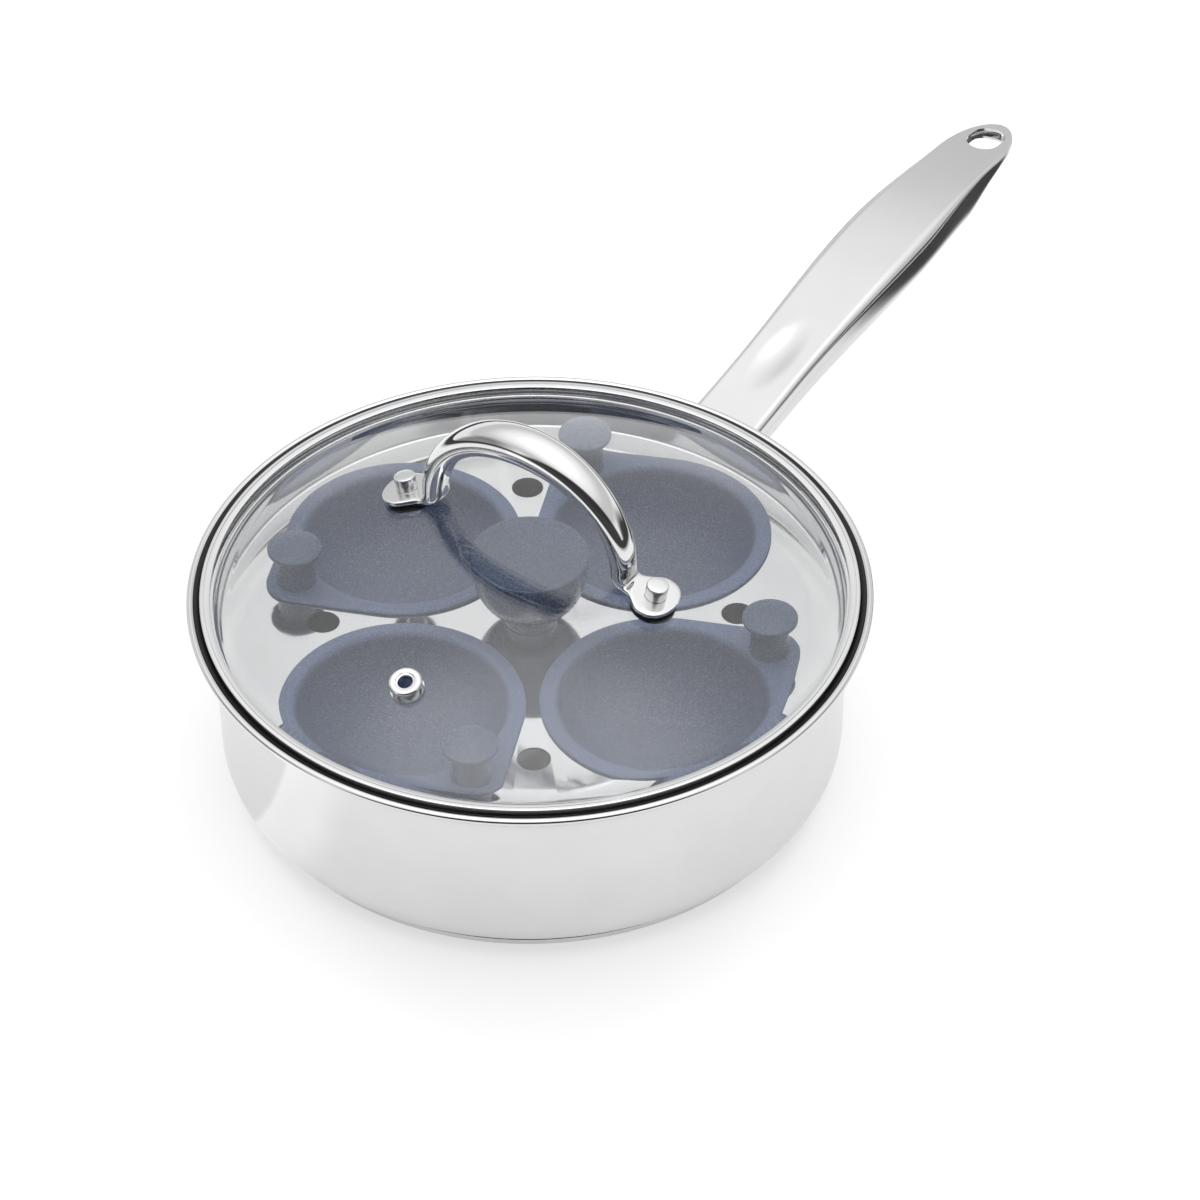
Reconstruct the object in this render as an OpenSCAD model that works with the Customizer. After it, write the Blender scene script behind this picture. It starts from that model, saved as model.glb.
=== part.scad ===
// Egg poacher pan: a low steel pan with a long handle, a lift-out tray that carries four
// non-stick egg cups, and a glass lid with a steel loop handle and a steam vent.
// Millimetres. The origin is the middle of the underside of the base, +Z is up, and the
// long handle points along +X.

/* [Pan] */
// Outside diameter of the straight wall
wall_d = 194.6; // [176:0.2:220]
// Height from the hob to the top of the rolled rim
pan_h = 64.6; // [52:0.2:84]
// Thickness of the steel sheet of the pan
sheet = 0.8; // [0.6:0.1:1]
// Outside radius of the corner between floor and wall
corner_r = 10; // [7:0.5:13]
// Radius of the outward flare under the rim, on the inside face
flare_r = 12; // [11:0.5:14]
// Slope of the flare where it meets the rolled rim, in degrees
lip_slope = 26; // [20:1:32]
// Radius of the rolled rim
bead_r = 1.2; // [1.1:0.1:1.4]

/* [Base] */
// How far the base's edge lies inside the pan's wall
base_inset = 6.8; // [6:0.2:12]
// Thickness of the aluminium heat spreader
core_t = 3; // [2:0.5:5]
// Thickness of the steel capsule round the heat spreader
cap_t = 0.5; // [0.4:0.1:0.8]
// Gap between the heat spreader and the wall of the capsule
core_gap = 0.3; // [0.2:0.1:0.8]

/* [Long handle] */
// Length of the handle from the pan's wall to its tip
handle_l = 193.7; // [160:0.5:215]
// Depth of the handle's flat top below the rim where it leaves the pan
handle_drop = 9.6; // [9:0.2:14]
// How far the flat top rises from the pan to its highest point
handle_rise = 18.3; // [10:0.5:24]
// How far the flat top droops again from there to the tip
handle_droop = 3.8; // [0:0.2:6]
// Half width of the handle at the pan
root_half_w = 12.6; // [11.6:0.1:13.6]
// Half width of the handle at its neck
neck_half_w = 12.3; // [11.4:0.1:13]
// Half width of the handle at the palm
palm_half_w = 14.9; // [13.4:0.1:16.5]
// Half width of the handle beside the hanging hole
tongue_half_w = 11.2; // [10.4:0.1:12.5]
// Thickness of the handle at the pan
root_t = 14; // [13:0.2:15]
// Thickness of the handle at the palm
palm_t = 18; // [16:0.2:20]
// Thickness of the flattened tip
tongue_t = 7.5; // [6:0.1:8.5]
// Thickness of the steel sheet of the handle
handle_wall = 0.9; // [0.7:0.1:1]
// Length of the thumb dimple
dimple_l = 34; // [26:1:44]
// Width of the thumb dimple
dimple_w = 13; // [9:0.5:16]
// Depth of the thumb dimple
dimple_depth = 1.6; // [0.5:0.1:2.2]
// Length of the hanging hole
hang_l = 15.5; // [13:0.5:17]
// Width of the hanging hole
hang_w = 11.5; // [8:0.5:12.5]
// Steel left between the hanging hole and the tip
hang_edge = 4.4; // [4:0.2:6]

/* [Tray] */
// Depth of the tray's top face below the pan's rim
tray_drop = 14.6; // [14:0.1:16]
// Thickness of the tray's sheet
tray_t = 0.7; // [0.6:0.1:1]
// Gap between the tray's wall and the pan's wall
tray_gap = 0.6; // [0.4:0.1:1]
// Radius of the lip at the top of the tray's wall, on its underside
tray_lip_r = 2.4; // [2:0.1:2.6]
// Diameter of each steam hole
steam_d = 10; // [6:0.5:12]
// How far the middles of the steam holes lie out past the middles of the cups
steam_out = 8.2; // [4:0.2:12]

/* [Egg cups] */
// Gap between a cup's flange and the tray's wall
flange_wall_gap = 3; // [2:0.1:6]
// Gap between the flanges of neighbouring cups
flange_gap = 4.1; // [2:0.1:8]
// Width of a cup's flange, from its edge to the bowl's mouth
flange_w = 5.4; // [4.5:0.1:8]
// Depth of the bowl below the flange's top
bowl_depth = 24; // [18:0.5:30]
// Thickness of the cup
cup_t = 1.4; // [1:0.1:1.8]
// Turn of the first cup from the long handle, in degrees
cup_turn = -9.4; // [-12:0.1:12]
// Gap between a bowl and its hole in the tray
cup_gap = 0.5; // [0.3:0.1:0.8]
// Gap between the flange and the tray
seat_gap = 0.1; // [0.05:0.05:0.2]
// How far a cup's knob stands out past the edge of the flange
knob_out = 1.7; // [1:0.1:3]
// Direction of the knob from the line that runs out through the cup, in degrees
knob_turn = 77; // [70:1:84]
// Radius of the end of the cup's thumb tab
tab_r = 9.5; // [8.8:0.1:10]

/* [Cup knobs] */
// Diameter of a cup knob's cap
cup_knob_d = 16.8; // [14:0.2:17.2]
// Diameter of a cup knob's stem
cup_stem_d = 11.8; // [10:0.2:12.6]
// Height of a cup knob
cup_knob_h = 14.4; // [12:0.1:15.6]
// Thread diameter of the screws in the knobs
screw_d = 3; // [2.6:0.1:3.4]
// Head diameter of a countersunk cup screw
screw_head_d = 5.6; // [5:0.1:6]

/* [Tray knob] */
// Gap between the lifting knob and a cup that is lifted past it
tray_knob_gap = 0.2; // [0.2:0.1:3]
// Height of the tray's lifting knob
tray_knob_h = 26.4; // [22:0.2:28]
// Diameter of the lifting knob's foot
tray_stem_d = 16.4; // [14:0.2:18]

/* [Lid] */
// Rise of the glass from its flat rim to the middle of the lid
dome_rise = 19.4; // [17:0.1:24]
// Thickness of the glass
glass_t = 3; // [2.8:0.1:3.2]
// How far the lid's steel band reaches out past the inside of the pan's wall
band_reach = 4.4; // [4.2:0.1:4.6]
// Height of the band's flat top above the pan's rim
band_rise = 0.7; // [0.6:0.1:1.2]
// Radial width of the band's top face
band_w = 3.3; // [2.9:0.1:3.7]
// Thickness of the band's sheet
band_t = 0.45; // [0.4:0.05:0.5]
// Gap left for the lid and tray where they rest on the pan
rest_gap = 0.3; // [0.2:0.05:0.35]

/* [Lid handle] */
// Distance between the two lid bolts
bolt_span = 90.6; // [89:0.2:94]
// Height of the middle of the loop at its apex above the glass
loop_rise = 33.8; // [26:0.2:42]
// Half span of the loop at its feet
loop_half_span = 34.5; // [33:0.1:34.9]
// Width of the loop at its apex
loop_w = 13; // [11:0.2:14]
// Depth of the loop's section at its apex
loop_t = 11.4; // [9:0.2:12]
// Width of the loop at its feet
foot_w = 9.4; // [8:0.2:10.4]
// Radius of the bend from the loop's foot to its flat tab
foot_bend_r = 4; // [3.4:0.1:4.6]
// Half width of the flat tab round each bolt
lug_half_w = 8; // [7.4:0.1:9]
// Radius of the rounded end of the flat tab
lug_end_r = 6.2; // [5.6:0.1:6.4]
// Thickness of the flat tab
lug_t = 1.7; // [1.4:0.1:2]
// Thickness of the upper rubber washers
pad_t = 0.6; // [0.4:0.1:1]
// Diameter of a lid bolt's shank
bolt_d = 4; // [3.4:0.1:4.4]
// Diameter of a lid bolt's round head
bolt_head_d = 6.8; // [6:0.1:8]
// Height of a lid bolt's round head
bolt_head_h = 4.6; // [3:0.1:6]
// Clearance round a bolt in the tab, the washers and the glass
bolt_gap = 0.2; // [0.1:0.05:0.4]
// Diameter of the rubber washers
washer_d = 13.6; // [11:0.2:14]
// Thickness of the lower rubber washers
washer_t = 1.2; // [0.8:0.1:1.6]
// Width of the lid nuts across their corners
nut_d = 8; // [7:0.1:9]
// Height of the lid nuts
nut_h = 2.6; // [2.2:0.1:3.4]

/* [Steam vent] */
// Distance of the vent from the lid's axis
vent_reach = 67; // [60:0.5:70]
// Turn of the vent from the long handle, in degrees
vent_turn = 182; // [150:1:210]
// Outside diameter of the vent's eyelet
vent_d = 10.2; // [9:0.1:12]
// Diameter of the hole through the vent
vent_hole_d = 4.3; // [3:0.1:5]
// Height of the eyelet's rolled flange above the glass
vent_h = 2.2; // [1.4:0.1:3]
// Outside diameter of the eyelet's tube in the glass
vent_tube_d = 6.2; // [5.6:0.1:7]

/* [Hidden] */
$fn = 96;
tiny = 0.01;

// Pan heights and radii that the other pieces share
base_h = cap_t + core_t;
base_d = wall_d - 2 * base_inset;
handle_root_z = pan_h - handle_drop;
tray_z = pan_h - tray_drop;
wall_r = wall_d / 2;
wall_in_r = wall_r - sheet;
handle_reach = wall_r + handle_l;
flare_cx = wall_in_r + flare_r;
lip_angle = 90 + lip_slope;
flare_cz = pan_h - bead_r - (flare_r - bead_r) * sin(lip_angle);
bead_cx = flare_cx + (flare_r - bead_r) * cos(lip_angle);
bead_cz = flare_cz + (flare_r - bead_r) * sin(lip_angle);
function flare_z(r) = flare_cz + sqrt(flare_r * flare_r - pow(flare_cx - r, 2));
function flare_in_r(z) = flare_cx - sqrt(flare_r * flare_r - pow(z - flare_cz, 2));

// Points on an arc, on a half profile or an outline
function arc(cx, cy, r, from, to, n = 12) =
  [for (i = [0:n]) [cx + r * cos(from + (to - from) * i / n), cy + r * sin(from + (to - from) * i / n)]];
function mix(a, b, t) = a + (b - a) * t;
function ease(t) = t * t * (3 - 2 * t);
function clamp01(t) = min(1, max(0, t));
function glide(x, x0, v0, x1, v1) = mix(v0, v1, ease(clamp01((x - x0) / (x1 - x0))));
function super_sin(a, n) = sign(sin(a)) * pow(abs(sin(a)), 2 / n);
function super_cos(a, n) = sign(cos(a)) * pow(abs(cos(a)), 2 / n);

module turned(points) {
  rotate_extrude($fn = 120) polygon(points);
}

// Pan body: one spun sheet with a rounded corner, a flared lip and a rolled rim
bead_join = acos((pow(flare_r - sheet, 2) + pow(flare_r - bead_r, 2) - bead_r * bead_r)
  / (2 * (flare_r - sheet) * (flare_r - bead_r)));
bead_start = atan2(
  (flare_r - sheet) * sin(lip_angle + bead_join) - (flare_r - bead_r) * sin(lip_angle),
  (flare_r - sheet) * cos(lip_angle + bead_join) - (flare_r - bead_r) * cos(lip_angle)) + 360;
module pan_body() {
  color([0.86, 0.86, 0.87])
    turned(concat(
      [[0, base_h]],
      arc(wall_r - corner_r, base_h + corner_r, corner_r, -90, 0),
      arc(flare_cx, flare_cz, flare_r - sheet, 180, lip_angle + bead_join),
      arc(bead_cx, bead_cz, bead_r, bead_start, lip_angle + 360, 20),
      arc(flare_cx, flare_cz, flare_r, lip_angle, 180),
      arc(wall_r - corner_r, base_h + corner_r, corner_r - sheet, 0, -90),
      [[0, base_h + sheet]]
    ));
}

// Base: an aluminium heat spreader shut in a steel capsule
cap_edge_r = 0.8;
module base_core() {
  color([0.75, 0.76, 0.78])
    translate([0, 0, cap_t]) cylinder(r = base_d / 2 - cap_t - core_gap, h = core_t);
}
module base_cap() {
  color([0.8, 0.8, 0.81])
    turned(concat(
      [[0, 0]],
      arc(base_d / 2 - cap_edge_r, cap_edge_r, cap_edge_r, -90, 0, 6),
      [[base_d / 2, base_h], [base_d / 2 - cap_t, base_h], [base_d / 2 - cap_t, cap_t], [0, cap_t]]
    ));
}

// Long handle: two pressed half shells, welded along their side seams over a bracket
bracket_t = 1.2;
bracket_gap = 0.05;
bracket_half_w = 13;
bracket_h = 10;
stub_l = 15;
stub_gap = 0.5;
handle_x0 = wall_r + bracket_gap + bracket_t + 0.3;
neck_x = mix(handle_x0, handle_reach, 0.2);
palm_x = mix(handle_x0, handle_reach, 0.58);
crest_x = mix(handle_x0, handle_reach, 0.7);
tongue_x = handle_reach - 26;
tip_cut = 0.3;
handle_x1 = handle_reach - tip_cut;
dimple_x = mix(handle_x0, handle_reach, 0.23);
hang_x = handle_reach - hang_edge - hang_l / 2;
seam_share = 0.34;
seam_gap = 0.05;
body_n = 30;
tip_n = 9;
section_n = 8;
handle_stations = concat(
  [for (i = [0:body_n - 1]) mix(handle_x0, tongue_x, i / body_n)],
  [for (i = [0:tip_n]) mix(tongue_x, handle_x1, sin(90 * i / tip_n))]);
function half_w(x) =
  x < neck_x ? glide(x, handle_x0, root_half_w, neck_x, neck_half_w)
  : x < palm_x ? glide(x, neck_x, neck_half_w, palm_x, palm_half_w)
  : x < tongue_x ? glide(x, palm_x, palm_half_w, tongue_x, tongue_half_w)
  : tongue_half_w * sqrt(1 - pow((x - tongue_x) / (handle_reach - tongue_x), 2));
function thick(x) =
  x < crest_x ? glide(x, handle_x0, root_t, palm_x, palm_t)
  : glide(x, crest_x + 14, palm_t, tongue_x + 16, tongue_t);
function flat_share(x) =
  x < palm_x ? glide(x, neck_x, 0.82, palm_x, 0.75) : glide(x, palm_x, 0.75, tongue_x, 0.92);
// The flat top arches up to its crest and droops a little beyond it
function top_z(x) =
  let (u = clamp01((x - handle_x0) / (crest_x - handle_x0)), d = max(0, (x - crest_x) / (handle_reach - crest_x)))
  handle_root_z + handle_rise * (1 - pow(1 - u, 2) + ease(u)) / 2 - handle_droop * d * d;
function seam_z(x) = top_z(x) - seam_share * thick(x);
function dimple(x, y) = dimple_depth
  * ease(clamp01(1.3 * (1 - pow(2 * (x - dimple_x) / dimple_l, 2) - pow(2 * y / dimple_w, 2))));
// Half a ring of the upper shell, from the +Y seam over the top to the -Y seam
function upper_arc(x, inset) =
  let (
    w = half_w(x) - inset,
    flat = max(0.2, half_w(x) * flat_share(x) - inset),
    rise = seam_share * thick(x) - inset,
    side = [for (i = [0:5]) [flat + (w - flat) * cos(18 * i), rise * sin(18 * i)]],
    top = [for (i = [1:2 * section_n - 1]) [flat * (1 - i / section_n), rise]],
    far = [for (i = [0:5]) [-side[5 - i][0], side[5 - i][1]]]
  )
  [for (p = concat(side, top, far))
    [x, p[0], seam_z(x) + p[1] - (p[1] > rise - tiny ? dimple(x, p[0]) : 0)]];
// Half a ring of the lower shell, from the +Y seam under the belly to the -Y seam
function lower_arc(x, inset) =
  let (w = half_w(x) - inset, drop = (1 - seam_share) * thick(x) - inset)
  [for (i = [0:2 * section_n])
    [x, w * super_cos(90 * i / section_n, 3), seam_z(x) - seam_gap
      - (drop - seam_gap) * super_sin(90 * i / section_n, 3)]];
// Closes a shell from rings that each hold an outer arc and then an inner arc of m points
function quad(a, b, c, d) = [[a, b, c], [a, c, d]];
function shell_faces(rings, m) = [
  for (q = concat(
    [for (i = [0:rings - 2], j = [0:m - 2])
      let (o = i * 2 * m, p = o + 2 * m) quad(o + j, p + j, p + j + 1, o + j + 1)],
    [for (i = [0:rings - 2], j = [0:m - 2])
      let (o = i * 2 * m + m, p = o + 2 * m) quad(o + j + 1, p + j + 1, p + j, o + j)],
    [for (i = [0:rings - 2])
      let (o = i * 2 * m, p = o + 2 * m) quad(o, o + m, p + m, p)],
    [for (i = [0:rings - 2])
      let (o = i * 2 * m + m - 1, p = o + 2 * m) quad(o, p, p + m, o + m)],
    [for (j = [0:m - 2]) quad(j, j + 1, j + m + 1, j + m)],
    [for (j = [0:m - 2]) let (o = (rings - 1) * 2 * m) quad(o + j + 1, o + j, o + j + m, o + j + m + 1)]
  )) each q];
module hanging_slot() {
  half = (hang_l - hang_w) / 2;
  translate([hang_x, 0, top_z(hang_x) - palm_t]) {
    for (side = [-1, 1]) translate([side * half, 0, 0]) cylinder(d = hang_w, h = 2 * palm_t, $fn = 48);
    translate([-half, -hang_w / 2, 0]) cube([2 * half, hang_w, 2 * palm_t]);
  }
}
module pan_handle_upper() {
  rings = [for (x = handle_stations) concat(upper_arc(x, 0), upper_arc(x, handle_wall))];
  color([0.82, 0.82, 0.83])
    difference() {
      polyhedron([for (ring = rings) each ring], shell_faces(len(rings), len(rings[0]) / 2));
      hanging_slot();
    }
}
module pan_handle_lower() {
  rings = [for (x = handle_stations) concat(lower_arc(x, handle_wall), lower_arc(x, 0))];
  color([0.8, 0.8, 0.81])
    difference() {
      polyhedron([for (ring = rings) each ring], shell_faces(len(rings), len(rings[0]) / 2));
      hanging_slot();
    }
}
// A curved saddle that is spot welded to the wall, with a stub that fills the handle's root
module handle_bracket() {
  saddle_r = wall_r + bracket_gap;
  mid_z = handle_root_z - root_t / 2;
  stub_h = root_t - 2 * handle_wall - 2 * stub_gap - 3.4;
  stub_w = 2 * (neck_half_w - handle_wall - stub_gap - 2);
  root_slope = atan(handle_rise / (crest_x - handle_x0));
  color([0.7, 0.7, 0.72]) {
    intersection() {
      difference() {
        translate([0, 0, mid_z - bracket_h / 2]) cylinder(r = saddle_r + bracket_t, h = bracket_h);
        translate([0, 0, mid_z - bracket_h]) cylinder(r = saddle_r, h = 2 * bracket_h);
      }
      translate([0, -bracket_half_w, 0]) cube([2 * wall_r, 2 * bracket_half_w, pan_h]);
    }
    difference() {
      translate([handle_x0, 0, mid_z]) rotate([0, -root_slope, 0])
        translate([-3, -stub_w / 2, -stub_h / 2]) cube([stub_l, stub_w, stub_h]);
      translate([0, 0, mid_z - bracket_h]) cylinder(r = saddle_r + bracket_t / 2, h = 2 * bracket_h);
    }
  }
}

// Tray: a shallow dish whose rolled lip rests on the pan's flare
tray_out_r = wall_in_r - tray_gap;
tray_lip_cx = tray_out_r + tray_lip_r;
tray_lip_end = 100;
tray_tip_r = tray_lip_cx + tray_lip_r * cos(tray_lip_end);
tray_lip_cz = flare_z(tray_tip_r) + rest_gap - tray_lip_r * sin(tray_lip_end);
tray_corner_r = 1.6;
// Four equal flanges fit round the axis inside the tray's wall
flange_r = (tray_out_r - tray_t - flange_wall_gap - flange_gap / sqrt(2)) / (1 + sqrt(2));
flange_d = 2 * flange_r;
bowl_d = flange_d - 2 * flange_w;
cup_reach = (flange_d + flange_gap) / sqrt(2);
steam_reach = cup_reach + steam_out;
cup_hole_r = bowl_d / 2 + cup_t + cup_gap;
screw_gap = 0.2;
module egg_tray() {
  under = tray_z - tray_t;
  color([0.84, 0.84, 0.85])
    difference() {
      turned(concat(
        [[0, under]],
        arc(tray_out_r - tray_corner_r, under + tray_corner_r, tray_corner_r, -90, 0, 6),
        arc(tray_lip_cx, tray_lip_cz, tray_lip_r, 180, tray_lip_end, 8),
        arc(tray_lip_cx, tray_lip_cz, tray_lip_r + tray_t, tray_lip_end, 180, 8),
        arc(tray_out_r - tray_corner_r, under + tray_corner_r, tray_corner_r - tray_t, 0, -90, 6),
        [[0, tray_z]]
      ));
      for (i = [0:3]) {
        rotate([0, 0, cup_turn + 90 * i]) translate([cup_reach, 0, under - tray_t])
          cylinder(r = cup_hole_r, h = 3 * tray_t);
        rotate([0, 0, cup_turn + 45 + 90 * i]) translate([steam_reach, 0, under - tray_t])
          cylinder(d = steam_d, h = 3 * tray_t, $fn = 48);
      }
      translate([0, 0, under - tray_t]) cylinder(d = screw_d + 2 * screw_gap, h = 3 * tray_t, $fn = 36);
    }
}

// Tray knob: a round bulb with a narrow foot, screwed on from below
tray_knob_d = 2 * (cup_reach - flange_r - tray_knob_gap);
module tray_knob() {
  foot_h = 6;
  crown_h = 1.6;
  edge_h = tray_knob_h - crown_h;
  knob_r = tray_knob_d / 2;
  stem_r = tray_stem_d / 2;
  screw_depth = 12;
  color([0.47, 0.5, 0.56])
    translate([0, 0, tray_z])
      difference() {
        turned(concat(
          [[0, 0], [stem_r, 0], [stem_r, foot_h]],
          [for (a = [10:10:80])
            [stem_r + (knob_r - stem_r) * super_sin(a, 2.2), edge_h - (edge_h - foot_h) * super_cos(a, 2.2)]],
          [[knob_r, edge_h - 0.6], [knob_r, edge_h], [knob_r - 0.5, edge_h + 0.5]],
          [for (i = [1:6]) [(knob_r - 0.5) * (1 - i / 6), tray_knob_h - (crown_h - 0.5) * pow(1 - i / 6, 2)]]
        ));
        translate([0, 0, -tiny]) cylinder(d = screw_d, h = screw_depth, $fn = 36);
      }
}
tray_washer_t = 0.8;
module tray_knob_washer() {
  color([0.75, 0.75, 0.76])
    translate([0, 0, tray_z - tray_t - tray_washer_t])
      difference() {
        cylinder(r = 1.6 * screw_d, h = tray_washer_t, $fn = 48);
        translate([0, 0, -tiny]) cylinder(d = screw_d + 2 * screw_gap, h = 2 * tray_washer_t, $fn = 36);
      }
}
module tray_knob_screw() {
  head_h = 2;
  color([0.75, 0.75, 0.76])
    translate([0, 0, tray_z - tray_t - tray_washer_t - head_h]) {
      cylinder(r = screw_d, h = head_h, $fn = 48);
      cylinder(d = screw_d - 2 * tiny, h = head_h + tray_washer_t + tray_t + 11, $fn = 36);
    }
}

// Egg cups: a deep round bowl with a flat flange that draws out into a thumb tab
flange_z = tray_z + seat_gap;
cup_top_z = flange_z + cup_t;
knob_reach = flange_r + knob_out;
mouth_r = 2.2;
bowl_n = 14;
bowl_power = 2.3;
module at_cup(i) {
  rotate([0, 0, cup_turn + 90 * i]) translate([cup_reach, 0, 0]) children();
}
module at_knob(i) {
  at_cup(i) rotate([0, 0, knob_turn]) translate([knob_reach, 0, 0]) children();
}
// The bowl's curve, from its mouth to its middle, at a radius and depth
function bowl_curve(r, depth) =
  [for (i = [0:bowl_n]) [r * super_cos(90 * i / bowl_n, bowl_power), -depth * super_sin(90 * i / bowl_n, bowl_power)]];
module cup_outline() {
  lean = acos((flange_d / 2 - tab_r) / knob_reach);
  circle(d = flange_d, $fn = 120);
  rotate([0, 0, knob_turn]) {
    translate([knob_reach, 0]) circle(r = tab_r, $fn = 72);
    polygon([
      [flange_d / 2 * cos(lean), flange_d / 2 * sin(lean)],
      [knob_reach + tab_r * cos(lean), tab_r * sin(lean)],
      [knob_reach + tab_r * cos(lean), -tab_r * sin(lean)],
      [flange_d / 2 * cos(lean), -flange_d / 2 * sin(lean)]
    ]);
  }
}
module egg_cup(i) {
  r_in = bowl_d / 2;
  color([0.42, 0.45, 0.51])
    difference() {
      union() {
        at_cup(i) translate([0, 0, flange_z]) linear_extrude(cup_t) cup_outline();
        at_cup(i) translate([0, 0, flange_z]) turned(concat(
          [[0, 0]],
          [for (p = bowl_curve(r_in + cup_t, bowl_depth)) [p[0], p[1]]]
        ));
      }
      at_cup(i) translate([0, 0, cup_top_z]) turned(concat(
        [[0, 1]],
        [[r_in + mouth_r, 1]],
        arc(r_in + mouth_r, -mouth_r, mouth_r, 90, 180, 6),
        [for (p = bowl_curve(r_in, bowl_depth - mouth_r)) [p[0], p[1] - mouth_r]]
      ));
      at_knob(i) {
        translate([0, 0, flange_z - 1]) cylinder(d = screw_d + 2 * screw_gap, h = cup_t + 2, $fn = 36);
        translate([0, 0, flange_z - tiny])
          cylinder(d1 = screw_head_d + 2 * screw_gap, d2 = screw_d + 2 * screw_gap, h = cup_t - 0.2, $fn = 36);
      }
    }
}
module egg_cup_1() { egg_cup(0); }
module egg_cup_2() { egg_cup(1); }
module egg_cup_3() { egg_cup(2); }
module egg_cup_4() { egg_cup(3); }

// Cup knobs: a small mushroom on each thumb tab
screw_reach = 8;
module cup_knob(i) {
  cap_r = cup_knob_d / 2;
  stem_r = cup_stem_d / 2;
  edge_h = cup_knob_h - 3.2;
  color([0.49, 0.52, 0.58])
    at_knob(i) translate([0, 0, cup_top_z])
      difference() {
        turned(concat(
          [[0, 0], [stem_r + 0.2, 0]],
          arc(stem_r + 1, edge_h - 1.2, 1.2, 180, 90, 6),
          [[cap_r - 0.4, edge_h], [cap_r, edge_h + 0.4], [cap_r, edge_h + 1.2], [cap_r - 0.4, edge_h + 1.6]],
          [for (j = [1:6]) [(cap_r - 0.4) * (1 - j / 6), cup_knob_h - 1.6 * pow(1 - j / 6, 2)]]
        ));
        translate([0, 0, -tiny]) cylinder(d = screw_d, h = screw_reach + 1, $fn = 36);
      }
}
module cup_knob_1() { cup_knob(0); }
module cup_knob_2() { cup_knob(1); }
module cup_knob_3() { cup_knob(2); }
module cup_knob_4() { cup_knob(3); }
module cup_knob_screw(i) {
  head_h = cup_t - 0.2;
  color([0.75, 0.75, 0.76])
    at_knob(i) translate([0, 0, flange_z]) {
      cylinder(d1 = screw_head_d, d2 = screw_d - 2 * tiny, h = head_h, $fn = 36);
      cylinder(d = screw_d - 2 * tiny, h = cup_t + screw_reach, $fn = 36);
    }
}
module cup_knob_screw_1() { cup_knob_screw(0); }
module cup_knob_screw_2() { cup_knob_screw(1); }
module cup_knob_screw_3() { cup_knob_screw(2); }
module cup_knob_screw_4() { cup_knob_screw(3); }

// Lid glass: a shallow dome that flattens into a rim held by the band
band_r = wall_in_r + band_reach;
band_top_z = pan_h + band_rise;
edge_gap = 0.1;
rim_flat_w = 3.2;
blend_w = 4;
glass_edge_r = band_r - band_w + 1.2;
glass_flat_z = band_top_z - band_t - edge_gap;
glass_top_z = glass_flat_z + dome_rise;
flat_from_r = glass_edge_r - rim_flat_w;
dome_edge_r = flat_from_r - blend_w;
dome_edge_tilt = 2 * atan(dome_rise / flat_from_r);
dome_r = dome_edge_r / sin(dome_edge_tilt);
blend_r = blend_w / sin(dome_edge_tilt);
function dome_z(r) = glass_top_z - dome_r + sqrt(dome_r * dome_r - r * r);
function dome_tilt(r) = asin(r / dome_r);
// How far the inside of the dome falls away from flat at a radius
function dome_sag(r) = r * r / (2 * (dome_r - glass_t));
// The face of the glass at a depth below its outer face, from the middle to the flat rim
function glass_face(drop) = concat(
  [for (i = [0:14]) let (a = dome_edge_tilt * i / 14)
    [(dome_r - drop) * sin(a), glass_top_z - dome_r + (dome_r - drop) * cos(a)]],
  [for (i = [1:4]) let (a = dome_edge_tilt * (1 - i / 4))
    [flat_from_r - (blend_r + drop) * sin(a), glass_flat_z + blend_r - (blend_r + drop) * cos(a)]]);
function reversed(points) = [for (i = [len(points) - 1:-1:0]) points[i]];
// A frame on the outside of the glass at each bolt, and one at the vent, square to the dome
bolt_reach = bolt_span / 2;
tab_tilt = dome_tilt(bolt_reach);
module at_bolts() {
  for (turn = [0, 180])
    rotate([0, 0, turn]) translate([0, bolt_reach, dome_z(bolt_reach)]) rotate([-tab_tilt, 0, 0]) children();
}
module at_vent() {
  rotate([0, 0, vent_turn]) translate([vent_reach, 0, dome_z(vent_reach)])
    rotate([0, dome_tilt(vent_reach), 0]) children();
}
module lid_glass() {
  vent_clear = 0.15;
  edge_r = 0.4;
  color([0.8, 0.86, 0.88, 0.35])
    difference() {
      turned(concat(
        glass_face(glass_t),
        [[glass_edge_r - edge_r, glass_flat_z - glass_t], [glass_edge_r, glass_flat_z - glass_t + edge_r],
          [glass_edge_r, glass_flat_z - edge_r], [glass_edge_r - edge_r, glass_flat_z]],
        reversed(glass_face(0))
      ));
      at_bolts() translate([0, 0, -2 * glass_t])
        cylinder(d = bolt_d + 2 * bolt_gap, h = 4 * glass_t, $fn = 36);
      at_vent() translate([0, 0, -2 * glass_t])
        cylinder(d = vent_tube_d + 2 * vent_clear, h = 4 * glass_t, $fn = 48);
    }
}
// Lid band: rolled steel round the edge of the glass, whose foot rests on the pan's flare
module lid_band() {
  groove_r = glass_edge_r + edge_gap;
  sole_z = glass_flat_z - glass_t - edge_gap;
  in_r = band_r - band_w;
  foot_r = band_r - 0.5;
  foot_z = flare_z(foot_r) + rest_gap;
  heel_z = max(sole_z - band_t, flare_z(groove_r) + rest_gap);
  color([0.83, 0.83, 0.84])
    turned(concat(
      [[in_r - 0.8, sole_z - band_t], [groove_r - 0.4, sole_z - band_t], [groove_r, heel_z],
        [foot_r, foot_z], [band_r, foot_z + 0.5]],
      arc(band_r - 0.5, band_top_z - 0.5, 0.5, 0, 90, 4),
      [[in_r + 0.2, band_top_z], [in_r, band_top_z - 0.2], [in_r, band_top_z - band_t],
        [groove_r, band_top_z - band_t], [groove_r, sole_z], [in_r - 0.8, sole_z]]
    ));
}

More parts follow.
